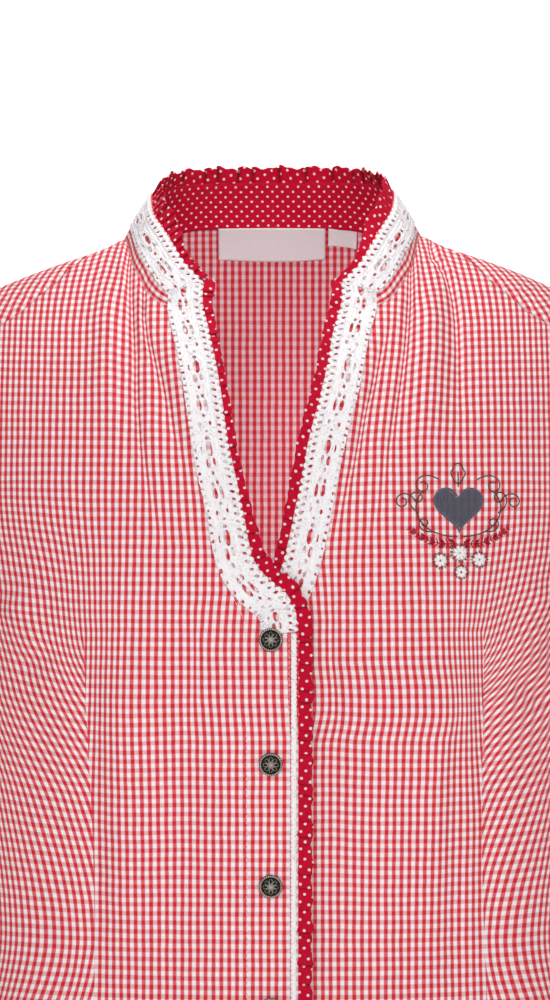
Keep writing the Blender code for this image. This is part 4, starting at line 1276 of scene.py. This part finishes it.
def lace_height(s, w):
    """Thick outlining threads: bell curves about ovals round the medallions and about lines near
    both edges, and over it all the small bumps of the crossings."""
    height = sum(0.55 * bell(oval_gap(s % REPEAT, w, oval) / 0.45) for oval in OUTLINES)
    sway = 0.22 * np.sin(TAU * s / SCALLOP)
    height = height + sum(0.4 * bell((w - line - sway) / 0.40) for line in CORD_LINES)
    loop = np.hypot(((s % SCALLOP) - SCALLOP / 2) / 1.25, w - LOOP_W) - 1.5
    height = height + 0.5 * bell(loop / 0.42) * (w < CORD_LINES[0])
    return height + 0.16 * np.sin(TAU * (s + w) / CROSSING) * np.sin(TAU * (s - w) / CROSSING)


# %% Laying a band on the cloth
COARSE_STEP, COARSE_COLUMNS = 2.2, 12
CHUNK = 400
FREE_END_Z, FREE_END_SLOPE = 228.6, 0.22


def cloud(side):
    """The outer points of a front and of the collar beside the neck, with their directions."""
    both = zip(FRONTS[side], (collar, collar_out))
    beside = (slice(LOW_ROWS - 9, None), slice(46))
    return [np.vstack([f[beside].reshape(-1, 3), c.reshape(-1, 3)]) for f, c in both]


def laid_on(grid, points, outs):
    """Each place moved along the nearest cloth point's direction on to the plane of the cloth
    there, averaged over the five nearest so that the band bends smoothly."""
    flat = grid.reshape(-1, 3)
    moved, facing = np.empty_like(flat), np.empty_like(flat)
    for first in range(0, len(flat), CHUNK):
        some = slice(first, first + CHUNK)
        part = flat[some, None]
        away = ((part - points) ** 2).sum(axis=-1)
        near = np.argpartition(away, 5, axis=1)[:, :5]
        weight = 1 / (np.take_along_axis(away, near, axis=1) + 0.5)
        weight /= weight.sum(axis=1, keepdims=True)
        out = unit((outs[near] * weight[..., None]).sum(axis=1))
        height = (((points[near] - part) * out[:, None]).sum(axis=-1) * weight).sum(axis=1)
        moved[some], facing[some] = flat[some] + out * height[:, None], out
    return moved.reshape(grid.shape), facing.reshape(grid.shape)


def finer(grid, rows, columns):
    """A grid read at more rows and columns, by cubic curves along each axis in turn."""
    for axis, count in ((0, rows), (1, columns)):
        size = grid.shape[axis]
        at = np.linspace(0, size - 1, count)
        i = np.clip(at.astype(int), 0, size - 2)
        t = (at - i).reshape((-1,) + (1,) * (grid.ndim - 1))
        along = np.moveaxis(grid, axis, 0)
        a, b, c, d = (along[np.clip(i + k, 0, size - 1)] for k in (-1, 0, 1, 2))
        curve = b + 0.5 * t * (c - a + t * (2 * a - 5 * b + 4 * c - d + t * (3 * (b - c) + d - a)))
        grid = np.moveaxis(curve, 0, axis)
    return grid


def lace(name, line, normal, aim, side):
    """Lays a coarse band along the line, refines it, and keeps the cells where there is lace.
    Points beside a hole are moved on to its outline, by their distance over its slope."""
    s, (edge, out, aim) = resampled(line, (normal, aim), COARSE_STEP)
    edge, out = smoothed(edge, 2), unit(smoothed(out, 6))
    across = unit(smoothed(across_line(edge, out, unit(smoothed(aim, 8))), 9))
    widths = np.linspace(-0.4, LACE_WIDTH + 0.2, COARSE_COLUMNS)
    band, facing = laid_on(edge + across * widths[:, None, None], *cloud(side))
    facing = np.stack([unit(smoothed(row, 2)) for row in facing])
    rows, columns = int((LACE_WIDTH + 0.6) / LACE_CELL), int(s[-1] / LACE_CELL)
    fine, facing = finer(band, rows, columns), unit(finer(facing, rows, columns))
    w = np.linspace(widths[0], widths[-1], rows)[:, None] + np.zeros(columns)
    along = np.linspace(0, s[-1], columns) + 0 * w
    there = lace_there(along, w)
    if side < 0:
        there = np.minimum(there, fine[..., 2] + FREE_END_Z + FREE_END_SLOPE * fine[..., 0])
    keep = sum(there[c] for c in CORNERS) > 0
    ds, dw = s[-1] / (columns - 1), (widths[-1] - widths[0]) / (rows - 1)
    slope_w, slope_s = np.gradient(there, dw, ds)
    slope = np.maximum(slope_w**2 + slope_s**2, 0.05)
    beside = np.zeros(there.shape, bool)
    for c in CORNERS:
        beside[c] |= ~keep
    move_w, move_s = (
        np.where(beside, np.clip(-there * part / slope, -0.25, 0.25), 0)
        for part in (slope_w, slope_s)
    )
    step_w, step_s = np.gradient(fine, dw, ds, axis=(0, 1))
    fine = fine + step_w * move_w[..., None] + step_s * move_s[..., None]
    height = 0.25 + LACE_THICKNESS + lace_height(along + move_s, w + move_w)
    fine = fine + facing * height[..., None]
    uv = np.stack([along, w], axis=-1)
    obj = sheet_mesh(name + "_cloth", fine, uv, (LACE_THREAD,), facing, keep)
    sewn(obj, LACE_THICKNESS, "white_lace", name)


# %% Sew the lace on
# Each half starts at the centre back, runs round the collar's top, down its end and down the
# front's edge. aim points from that line to where the band lies.
for side, name, end in ((-1, "lace_right", 0), (1, "lace_left", -1)):
    half = slice(COLLAR_AROUND // 2, None, side)
    last = LOW_ROWS - (3 if side < 0 else 1)
    down = slice(CORNER - 1, last, -1)
    both = zip((collar, collar_out), FRONTS[side])
    line, out = (np.vstack([c[-1, half], c[::-1, end][4:], f[down, 0]]) for c, f in both)
    aim = np.full(line.shape, (side, 0.0, 0.0))
    below = unit(collar[0] - collar[-1])[half]
    aim[: len(below)] = below
    lace(name, line, out, aim, side)

# %% [markdown]
# ## Tags in the neck
#
# Two plain woven tags are sewn into the back neck seam, tucked under the collar facing: a
# wide one and a small looped one. Each is a thin tape on the inside of the back, a little
# proud of it, with its lower edge standing off as tape does.

# %% Sew the tags
TAG_THICKNESS = 0.5
TAG_COLUMNS, TAG_ROWS = 48, 18


def back_inside(x, z, lift):
    """Points on the inner face of the back at places (x, z), and the directions inwards."""
    level = level_of(x, z, True)
    points, normal = cloth(180 - angle_of(x, level), level, ramp(level, 1, 0.8), False)
    return points - normal * (CLOTH + lift)[..., None], -normal


def tag(name, left, right, drop, bow, curl):
    """Rows down the tape, each the neck seam's line moved down by its share of the drop. The lower
    corners curl off the cloth by a power of that share."""
    x, part = np.meshgrid(np.linspace(left, right, TAG_COLUMNS), np.linspace(0, 1, TAG_ROWS))
    aside = (x - (left + right) / 2) / ((right - left) / 2)
    top = looked_up(BACK_NECK, np.abs(x), "x", "z") + 1.6
    z = top - part * (drop + 1.2 + bow * (1 - aside**2))
    curled = curl * part**2 * (0.5 + 0.5 * aside**4) + 0.25 * np.sin(x * 0.13) * part
    points, facing = back_inside(x, z, 0.4 + TAG_THICKNESS + curled)
    obj = sheet_mesh(name + "_tape", points, np.stack([x, z], axis=-1), (TAPE,), facing)
    sewn(obj, TAG_THICKNESS, "label_tape", name)


tag("neck_label", -34.0, 33.0, 17.0, 2.0, 1.1)
tag("size_tag", 35.0, 53.0, 8.5, 0.0, 1.6)

# %% [markdown]
# ## Trim on the placket
#
# A narrow white braid runs down the placket beside the ruffle. It is a band whose edges
# wave against each other and whose face carries the plait as two crossing waves.

# %% Sew the braid
BRAID_MIDDLE_X, BRAID_HALF_WIDTH = 12.3, 1.6
BRAID_TOP_Z, BRAID_REPEAT, BRAID_THICKNESS = -229.5, 2.6, 0.35


def braid():
    """Height: half an ellipse across, and on it two waves that cross."""
    down, across = np.linspace(BRAID_TOP_Z, HEM_Z + 1.0, 720), np.linspace(-1, 1, 10)
    down, across = np.meshgrid(down, across, indexing="ij")
    wave = 0.22 * np.sin(down * TAU / BRAID_REPEAT + np.sign(across) * 0.9)
    x = BRAID_MIDDLE_X + across * (BRAID_HALF_WIDTH + wave)
    plait = np.sin(down * 2.6 + across * 3.4) * np.sin(down * 2.6 - across * 3.4)
    lift = 0.35 + 0.75 * np.sqrt(1.02 - across**2) + 0.16 * plait
    points, normal = front_at(x, down, left=False)
    uv = np.stack([x, down], axis=-1)
    points = points + normal * lift[..., None]
    obj = sheet_mesh("placket_braid", points, uv, (LACE_THREAD,), normal)
    sewn(obj, BRAID_THICKNESS, "white_lace", "placket_trim")


braid()

# %% [markdown]
# ## Buttons
#
# Each button is cast metal: a ring of beads round a dished face, with a rosette and a
# boss in the middle. It could be assembled from balls and petals, but a cast part is one
# skin. Its height is a function of the radius and the angle, so the beads, the rope ring and
# the petals are waves round the axis. The same height says where the metal is rubbed bright.


# %% Metal finish
def worn_metal_group():
    """Colour and roughness from a height of 0 to 1: hollows keep the dark patina, high places are
    rubbed, and a noise breaks the line between them."""
    sockets = {"Vector": "Vector", "Height": 0.5, "Patina": "Color", "Rubbed": "Color"}
    outputs = {"Colour": "Color", "Roughness": "Float"}
    group, given, out = new_group("WornMetal", sockets, outputs)
    broken = maths(group, "MULTIPLY", noise(group, given["Vector"], 2200.0, 3.0), 0.35)
    level = maths(group, "ADD", given["Height"], broken)
    rubbed = smooth_range(group, level, 0.62, 1.02)
    put(group, out["Colour"], colour_mix(group, rubbed, given["Patina"], given["Rubbed"]))
    put(group, out["Roughness"], smooth_range(group, rubbed, 0.0, 1.0, 0.62, 0.30))
    return group


def antique_metal():
    made, tree, shader, _ = finish("antique_metal", 0.45, metallic=0.9)
    place = tree.nodes.new("ShaderNodeTexCoord").outputs["Object"]
    colours = {"Patina": (0.022, 0.018, 0.015, 1), "Rubbed": (0.50, 0.46, 0.40, 1)}
    worn = use(tree, worn_metal_group(), place, Height=stored(tree, "height"), **colours)
    put(tree, shader.inputs["Base Color"], worn["Colour"])
    put(tree, shader.inputs["Roughness"], worn["Roughness"])
    return made


METAL = antique_metal()

# %% Button form
BUTTON_RADIUS, BUTTON_LIFT = 6.8, 0.6
FIRST_BUTTON_Z, BUTTON_SPACING, BUTTON_COUNT, BUTTON_X = -233.0, 72.0, 5, -1.0
BUTTON_AROUND, BUTTON_RINGS = 192, 46
BEADS, BEAD_RADIUS, PETALS = 30, 6.1, 8
UNDERSIDE = ((6.0, 0.0), (6.6, 0.1), (6.8, 0.5))  # radius and height


def button_relief(radius, turn):
    """Height of the face above its plain disc, and how exposed each place is, from 0 to 1."""
    aside = ((turn * BEADS / TAU) % 1 - 0.5) * TAU / BEADS * BEAD_RADIUS
    away = ((radius - BEAD_RADIUS) / 0.62) ** 2 + (aside / 0.60) ** 2
    bead = np.sqrt(np.clip(1 - away, 0, 1))
    rope = bell((radius - 5.0) / 0.30) * (0.7 + 0.3 * np.sin(turn * 44 + radius * 6))
    petal_turn = np.abs((turn * PETALS / TAU) % 1 - 0.5) * 2
    petal_width = 0.78 * np.sin(np.clip((radius - 1.0) / 3.6, 0, 1) * math.pi) ** 0.6
    edge = bell((1 - petal_turn - petal_width) * radius / 0.75) * (radius > 1.0) * (radius < 4.6)
    scroll = 0.5 + 0.5 * np.sin(turn * 2 * PETALS + radius * 5.5)
    boss = np.sqrt(np.clip(1 - (radius / 1.15) ** 2, 0, 1))
    ring = bell((radius - 1.75) / 0.22) * (0.6 + 0.4 * np.sin(turn * 2 * PETALS))
    dome = 1.15 * np.clip(1 - (radius / 5.4) ** 2, 0, 1)
    raised = 0.62 * bead + 0.42 * rope + 0.38 * edge + 0.10 * scroll * (radius < 4.4)
    raised = raised + 0.6 * boss + 0.34 * ring
    shown = bead**0.6 + rope * 0.35 + edge * 0.62 + boss * 1.2 + ring * 0.5 + 0.25 * scroll
    return 1.45 + dome + raised, np.clip(shown, 0, 1)


def button(name, z):
    """Rings from the middle of the underside out to the rim and over the face to its middle."""
    (centre,), (out,) = front_at([BUTTON_X], [z], left=False)
    out = unit(out * (1, 1, 0.6))
    centre = centre + out * BUTTON_LIFT
    across = unit(np.cross(out, (0.0, 0.0, 1.0)))
    turn = np.arange(BUTTON_AROUND) * TAU / BUTTON_AROUND
    face = np.linspace(BUTTON_RADIUS, 0.12, BUTTON_RINGS)
    height, shown = button_relief(face[:, None], turn)
    height[0] = 1.0
    below_radius, below_height = np.array(UNDERSIDE).T
    below = below_height[:, None] + np.zeros(BUTTON_AROUND)
    radius = np.concatenate([below_radius, face])
    height, shown = np.vstack([below, height]), np.vstack([0 * below, shown])
    ring = np.cos(turn)[:, None] * across + np.sin(turn)[:, None] * np.cross(across, out)
    grid = centre + ring * radius[:, None, None] + out * height[..., None]
    poles = np.array([centre, centre + out * (height[-1].mean() + 0.01)])
    points = np.vstack([grid.reshape(-1, 3), poles])
    index = np.arange(grid.shape[0] * BUTTON_AROUND).reshape(-1, BUTTON_AROUND)
    after = np.roll(index, -1, axis=1)
    quads = np.stack([index[:-1], after[:-1], after[1:], index[1:]], axis=-1).reshape(-1, 4)
    pole = np.full(BUTTON_AROUND, index.size)
    low = np.stack([after[0], index[0], pole], axis=-1)
    high = np.stack([index[-1], after[-1], pole + 1], axis=-1)
    faces = quads.tolist() + low.tolist() + high.tolist()
    obj = as_object(name + "_cast", points, faces, METAL)
    obj.data.flip_normals()
    store(obj, "height", np.append(shown.ravel(), [0, 1]))
    dressed(obj, "dark_metal", name)


for k in range(BUTTON_COUNT):
    button(f"button_{k + 1}", FIRST_BUTTON_Z - k * BUTTON_SPACING)

# %% [markdown]
# ## Stitches
#
# Stitching is thread that dips into the cloth at each end. Drawn as a line in the finish it
# would stay flat at any distance. Here each stitch is a short arched tube, and all the
# stitches of one seam are one mesh made from arrays.


# %% Stitch helpers
def threads(name, start, end, out, radius, arch, made, rings=6, sides=5):
    """Each stitch is a tube from start to end. Its middle is lifted by arch times a sine of the
    way along, and it thins at both ends."""
    t = np.linspace(0, 1, rings)
    along = end - start
    side = unit(np.cross(along, out))
    up = unit(np.cross(side, along))
    lift = (arch * np.sin(math.pi * t))[:, None]
    middle = start[:, None] + along[:, None] * t[:, None] + out[:, None] * lift
    thick = radius * (0.4 + 0.6 * np.sin(math.pi * t) ** 0.4)
    turn = np.arange(sides) * TAU / sides
    ring = side[:, None] * np.cos(turn)[:, None] + up[:, None] * np.sin(turn)[:, None]
    points = middle[:, :, None] + ring[:, None] * thick[:, None, None]
    index = np.arange(points.size // 3).reshape(points.shape[:3])
    after = np.roll(index, -1, axis=2)
    quads = np.stack([index[:, :-1], index[:, 1:], after[:, 1:], after[:, :-1]], axis=-1)
    faces = quads.reshape(-1, 4).tolist() + index[:, 0].tolist() + index[:, -1, ::-1].tolist()
    return dressed(as_object(name, points.reshape(-1, 3), faces, made), "white_lace")


def seam_stitches(name, path, stitch, gap, radius, arch, left=False):
    """Stitches along a smooth path of (x, z) points on a front."""
    path = np.array(path, float)
    run = run_along(path)
    starts = np.arange(0, run[-1] - stitch, stitch + gap)
    ends = []
    for at in (starts, starts + stitch):
        x, z = (through(at / run[-1], run / run[-1], places) for places in path.T)
        ends.append(front_at(x, z, left))
    (start, out), (end, _) = ends
    threads(name, start, end, out, radius, arch, SEWING_THREAD)


# %% Sew the placket, edge and hem stitching
PLACKET_LINE = (
    (-28.5, -190), (-26.5, -199), (-22.5, -209), (-17.5, -219), (-15.4, -230), (-15.1, -300),
    (-15.1, -440), (-15.1, -588),
)  # fmt: skip
EDGE_LINE = ((9.6, -232), (9.6, -300), (9.6, -440), (9.6, -588))
HEM_STITCH_Z = HEM_Z + 11
seam_stitches("placket_stitches", PLACKET_LINE, 2.5, 0.7, 0.17, 0.16)
seam_stitches("edge_stitches", EDGE_LINE, 2.5, 0.7, 0.15, 0.14)
for name, first, last in (("hem_stitches_right", 9, -170), ("hem_stitches_left", -8, 170)):
    path = [(x, HEM_STITCH_Z) for x in np.linspace(first, last, 30)]
    seam_stitches(name, path, 2.6, 0.8, 0.15, 0.14, left=last > 0)

# %% [markdown]
# ## Embroidery
#
# The motif on the left breast is thread, so it stands up from the cloth and catches the
# light. A heart is filled with rows of satin stitches laid like bricks and edged with a
# closer row across its outline. Tendrils are running stitches along curls, two red sprays
# are feather stitch, and each daisy is a fan of long stitches with dark ones round it. The
# stitches come from arrays of start and end places, laid on the cloth by front_at.

# %% Embroidery helpers
MOTIF = np.array([108.5, -156.0])
GREY_THREAD = thread("grey_thread", (0.130, 0.133, 0.175, 1), 0.6, 2200.0)
OLIVE_THREAD = thread("olive_thread", (0.075, 0.060, 0.035, 1), 0.6, 2200.0)
RED_THREAD = thread("red_thread", (0.52, 0.001, 0.022, 1), 0.8, 2200.0)
WINE_THREAD = thread("wine_thread", (0.26, 0.001, 0.014, 1), 0.8, 2200.0)
PEARL_THREAD = thread("pearl_thread", (0.92, 0.90, 0.90, 1), 0.5, 2200.0)


def embroidered(name, start, end, made, radius, arch, lift):
    """Stitches between places given from the motif's middle, laid on the left front."""
    (start, out), (end, _) = (front_at(*(MOTIF + p).T, lift=lift) for p in (start, end))
    threads(name, start, end, out, radius, arch, made, rings=5, sides=4)


def polar(radius, bearing):
    """Flat places from a distance and a direction in radians."""
    return np.stack([radius * np.cos(bearing), radius * np.sin(bearing)], axis=-1)


def curl(x, z, heading, first, last, length, steps=60):
    """A line from (x, z) whose heading, in degrees, changes by first per millimetre at its start,
    by last at its end and evenly between, so that it winds in like a tendril."""
    s = np.linspace(0, length, steps)
    way = np.radians(heading + first * s + (last - first) * s * s / (2 * length))
    return np.array([x, z]) + np.cumsum(polar(1.0, way), axis=0) * length / (steps - 1)


def running(lines, stitch):
    """Starts and ends of running stitches along several lines, end to end, in each line the
    smallest number that keeps them no longer than asked."""
    counts = [math.ceil(run_along(line)[-1] / stitch - 1e-6) for line in lines]
    lines = [read_line(line, np.linspace(0, 1, n + 1)) for line, n in zip(lines, counts)]
    return np.vstack([line[:-1] for line in lines]), np.vstack([line[1:] for line in lines])


def both_sides(lines):
    """The lines, and the same lines with left and right swapped."""
    return [line * (side, 1) for side in (1, -1) for line in lines]


# %% Embroider the heart
HEART_SCALE = 0.92
HEART_MIDDLE = np.array([0.0, -2.0])
FILL_STITCH, FILL_ROW, FILL_ANGLE = 1.9, 0.42, math.radians(62)
turn = np.linspace(0, TAU, 400)
heart_z = 13 * np.cos(turn) - 5 * np.cos(2 * turn) - 2 * np.cos(3 * turn) - np.cos(4 * turn)
heart = np.stack([16 * np.sin(turn) ** 3, heart_z], axis=-1) * HEART_SCALE


def about_heart(places):
    """The distance and the bearing of places from the heart's middle."""
    x, z = (places - HEART_MIDDLE).T
    return np.hypot(x, z), np.arctan2(z, x) % TAU


reach, bearing = about_heart(heart)
order = np.argsort(bearing)


def inside_heart(places, margin):
    """True where a place is nearer to the heart's middle than its outline in that direction."""
    away, towards = about_heart(places)
    return away < np.interp(towards, bearing[order], reach[order], period=TAU) - margin


row, brick = (v.ravel() for v in np.meshgrid(np.arange(-48, 48), np.arange(-14, 14), indexing="ij"))
c, d = math.cos(FILL_ANGLE), math.sin(FILL_ANGLE)
first = (brick + (row % 3) / 3) * FILL_STITCH
start, end = (
    np.stack([along, row * FILL_ROW], axis=-1) @ np.array([[c, d], [-d, c]])
    for along in (first, first + FILL_STITCH)
)
keep = inside_heart(start, 0.4) & inside_heart(end, 0.4)
embroidered("heart_fill", start[keep], end[keep], GREY_THREAD, 0.25, 0.42, 0.28)
rim, _ = running([heart], 0.4)
inwards = unit(HEART_MIDDLE - rim)
embroidered("heart_edge", rim + inwards * 1.7, rim - inwards * 0.2, GREY_THREAD, 0.26, 0.30, 0.26)

# %% Embroider the tendrils and the sprays
stems = [
    curl(0.5, -17.5, 0, 1.0, 5.6, 44),
    curl(10.7, 15.5, 30, -1.0, -24, 34),
    curl(23.0, -4.0, 30, 2.0, 26, 30),
    curl(24.6, 2.0, 62, -3.0, -26, 30),
    curl(15.5, -14.5, -8, 3.0, 34, 24),
]
half = np.linspace(0, math.pi, 60)
leaf_x = 3.4 * np.sin(half) ** 1.3 + 0.9 * np.sin(half * 3) ** 2 * np.sin(half)
leaf = np.stack([leaf_x, 13.5 + 6 * (1 - np.cos(half))], axis=-1)
vein = np.stack([0 * half, np.linspace(11.5, 20.5, 60)], axis=-1)
start, end = running([*both_sides([*stems, leaf]), vein], 1.1)
embroidered("tendrils", start, end, OLIVE_THREAD, 0.42, 0.14, 0.24)

spray = curl(2, -21, -14, 2.6, 1.2, 30)
way = unit(np.gradient(spray, axis=0))
square = way[:, ::-1] * (-1, 1)
size = 3.3 - 1.2 * np.linspace(0, 1, len(spray))[:, None]
SPRAYS = (("spray_red", RED_THREAD, 0, 4), ("spray_wine", WINE_THREAD, 2, 12))
for name, made, first, step in SPRAYS:
    tips = [(spray + (way * 0.6 + square * 0.85 * edge) * size)[first::step] for edge in (-1, 1)]
    start = np.vstack(both_sides([spray[first::step]] * 2))
    embroidered(name, start, np.vstack(both_sides(tips)), made, 0.38, 0.3, 0.16)
start, end = running(both_sides([spray]), 1.3)
embroidered("spray_stems", start, end, RED_THREAD, 0.36, 0.14, 0.14)

# %% Embroider the daisies
DAISIES = table(
    "x z radius", (0, -27, 6.2), (-11.5, -31.5, 5.4), (11.5, -31, 5.6), (0.5, -38.2, 4.8)
)
petal, strand = (v.ravel() for v in np.meshgrid(np.arange(8), np.arange(-2, 3)))
white, dark = [], []
for daisy in DAISIES:
    middle = np.array([daisy.x, daisy.z])
    bearing = np.arange(8) * math.pi / 4 + 0.3 + daisy.x
    fan = bearing[petal] + strand * 0.12
    tip = daisy.radius * 0.74 - 0.35 * np.abs(strand)
    white.append((middle + polar(0.7, fan), middle + polar(tip, fan)))
    for lean in (-0.5, 0.0, 0.5):
        near = middle + polar(daisy.radius * 0.68, bearing + lean * 0.45)
        dark.append((near, middle + polar(daisy.radius - abs(lean), bearing + lean)))
start, end = (np.vstack(part) for part in zip(*white))
embroidered("daisy_petals", start, end, PEARL_THREAD, 0.30, 0.3, 0.12)
start, end = (np.vstack(part) for part in zip(*dark))
embroidered("daisy_outlines", start, end, OLIVE_THREAD, 0.28, 0.3, 0.20)

# %% [markdown]
# ## Camera, light and floor
#
# The photo was taken from straight ahead with a long lens, so both sides look alike and
# nothing bulges. Large soft lights on each side and in front leave only faint shadows in the
# folds, and a white cove behind keeps the edge of the cloth clear.

# %% Camera and lights
SENSOR = 36.0
FRAME_HEIGHT, CAMERA_AWAY = 0.580, 2.3
MIDDLE_X, FRONT_PLANE, MIDDLE_Z = 0.00145, -0.115, -0.152
scene = bpy.context.scene

camera_data = bpy.data.cameras.new("photo_camera")
camera_data.sensor_width = SENSOR
camera_data.sensor_fit = "AUTO"
camera_data.lens = SENSOR * CAMERA_AWAY / FRAME_HEIGHT
camera = bpy.data.objects.new("photo_camera", camera_data)
camera.location = (MIDDLE_X, FRONT_PLANE - CAMERA_AWAY, MIDDLE_Z)
camera.rotation_euler = (math.pi / 2, 0.0, 0.0)
scene.collection.objects.link(camera)
scene.camera = camera


def area_light(name, place, aim, size, power):
    data = bpy.data.lights.new(name, "AREA")
    data.shape = "RECTANGLE"
    data.size, data.size_y = size
    data.energy = power
    light = bpy.data.objects.new(name, data)
    light.location = place
    light.rotation_euler = (Vector(place) - Vector(aim)).to_track_quat("Z", "Y").to_euler()
    scene.collection.objects.link(light)
    return light


area_light("front_light", (-0.15, -2.6, 0.65), (0, 0, -0.2), (0.9, 0.9), 21.3)
area_light("key_light", (-1.3, -1.9, 0.9), (0, 0, -0.25), (1.1, 1.4), 6.4)
area_light("fill_light", (1.5, -1.9, 0.5), (0, 0, -0.25), (1.2, 1.5), 8.6)
area_light("top_light", (0.0, -0.4, 1.7), (0, 0, -0.2), (1.6, 1.2), 3.5)
area_light("neck_light", (0.0, -0.02, 0.34), (0, 0.10, -0.18), (0.24, 0.24), 1.15)
for name, x in (("inner_light_right", -0.075), ("inner_light_left", 0.075)):
    inner = area_light(name, (x, -0.040, -0.168), (0, 0.10, -0.11), (0.05, 0.12), 0.066)
    inner.visible_camera = False

scene.view_settings.view_transform = "Standard"
world = bpy.data.worlds.new("studio")
world.use_nodes = True
world.node_tree.nodes["Background"].inputs["Color"].default_value = (1, 1, 1, 1)
world.node_tree.nodes["Background"].inputs["Strength"].default_value = 0.25
scene.world = world

# %% Cove
PAPER_GLOW, PAPER_SEEN = 0.35, 0.85
FLOOR_Z, WALL_TOP_Z, COVE_HALF = -0.604, 6.5, 9.0
FLOOR_START_Y, BEND_Y, BEND_RADIUS = -9.0, 6.5, 2.0


def cove():
    """A floor that turns up into a wall: a straight run, a quarter circle and a straight rise.
    The camera sees its paper a little brighter than it shines on the blouse."""
    turn = np.linspace(0, math.pi / 2, 24)
    bend_y, bend_z = BEND_Y + BEND_RADIUS * np.sin(turn), FLOOR_Z + BEND_RADIUS * (1 - np.cos(turn))
    y = np.concatenate([[FLOOR_START_Y], bend_y, [BEND_Y + BEND_RADIUS]])
    z = np.concatenate([[FLOOR_Z], bend_z, [WALL_TOP_Z]])
    x, y = np.meshgrid([-COVE_HALF, COVE_HALF], y)
    points = np.stack([x, y, np.stack([z, z], axis=-1)], axis=-1).reshape(-1, 3)
    made = bpy.data.materials.new("cove_paper")
    made.use_nodes = True
    tree = made.node_tree
    shader = tree.nodes["Principled BSDF"]
    shader.inputs["Base Color"].default_value = (0.93, 0.93, 0.93, 1)
    shader.inputs["Roughness"].default_value = 0.9
    shader.inputs["Emission Color"].default_value = (1, 1, 1, 1)
    rays = tree.nodes.new("ShaderNodeLightPath").outputs["Is Camera Ray"]
    glow = smooth_range(tree, rays, 0.0, 1.0, PAPER_GLOW, PAPER_SEEN)
    put(tree, shader.inputs["Emission Strength"], glow)
    index = np.arange(len(points)).reshape(-1, 2)
    quads = np.stack([index[:-1, 0], index[:-1, 1], index[1:, 1], index[1:, 0]], axis=-1)
    as_object("cove", points / MM, quads, made)


cove()
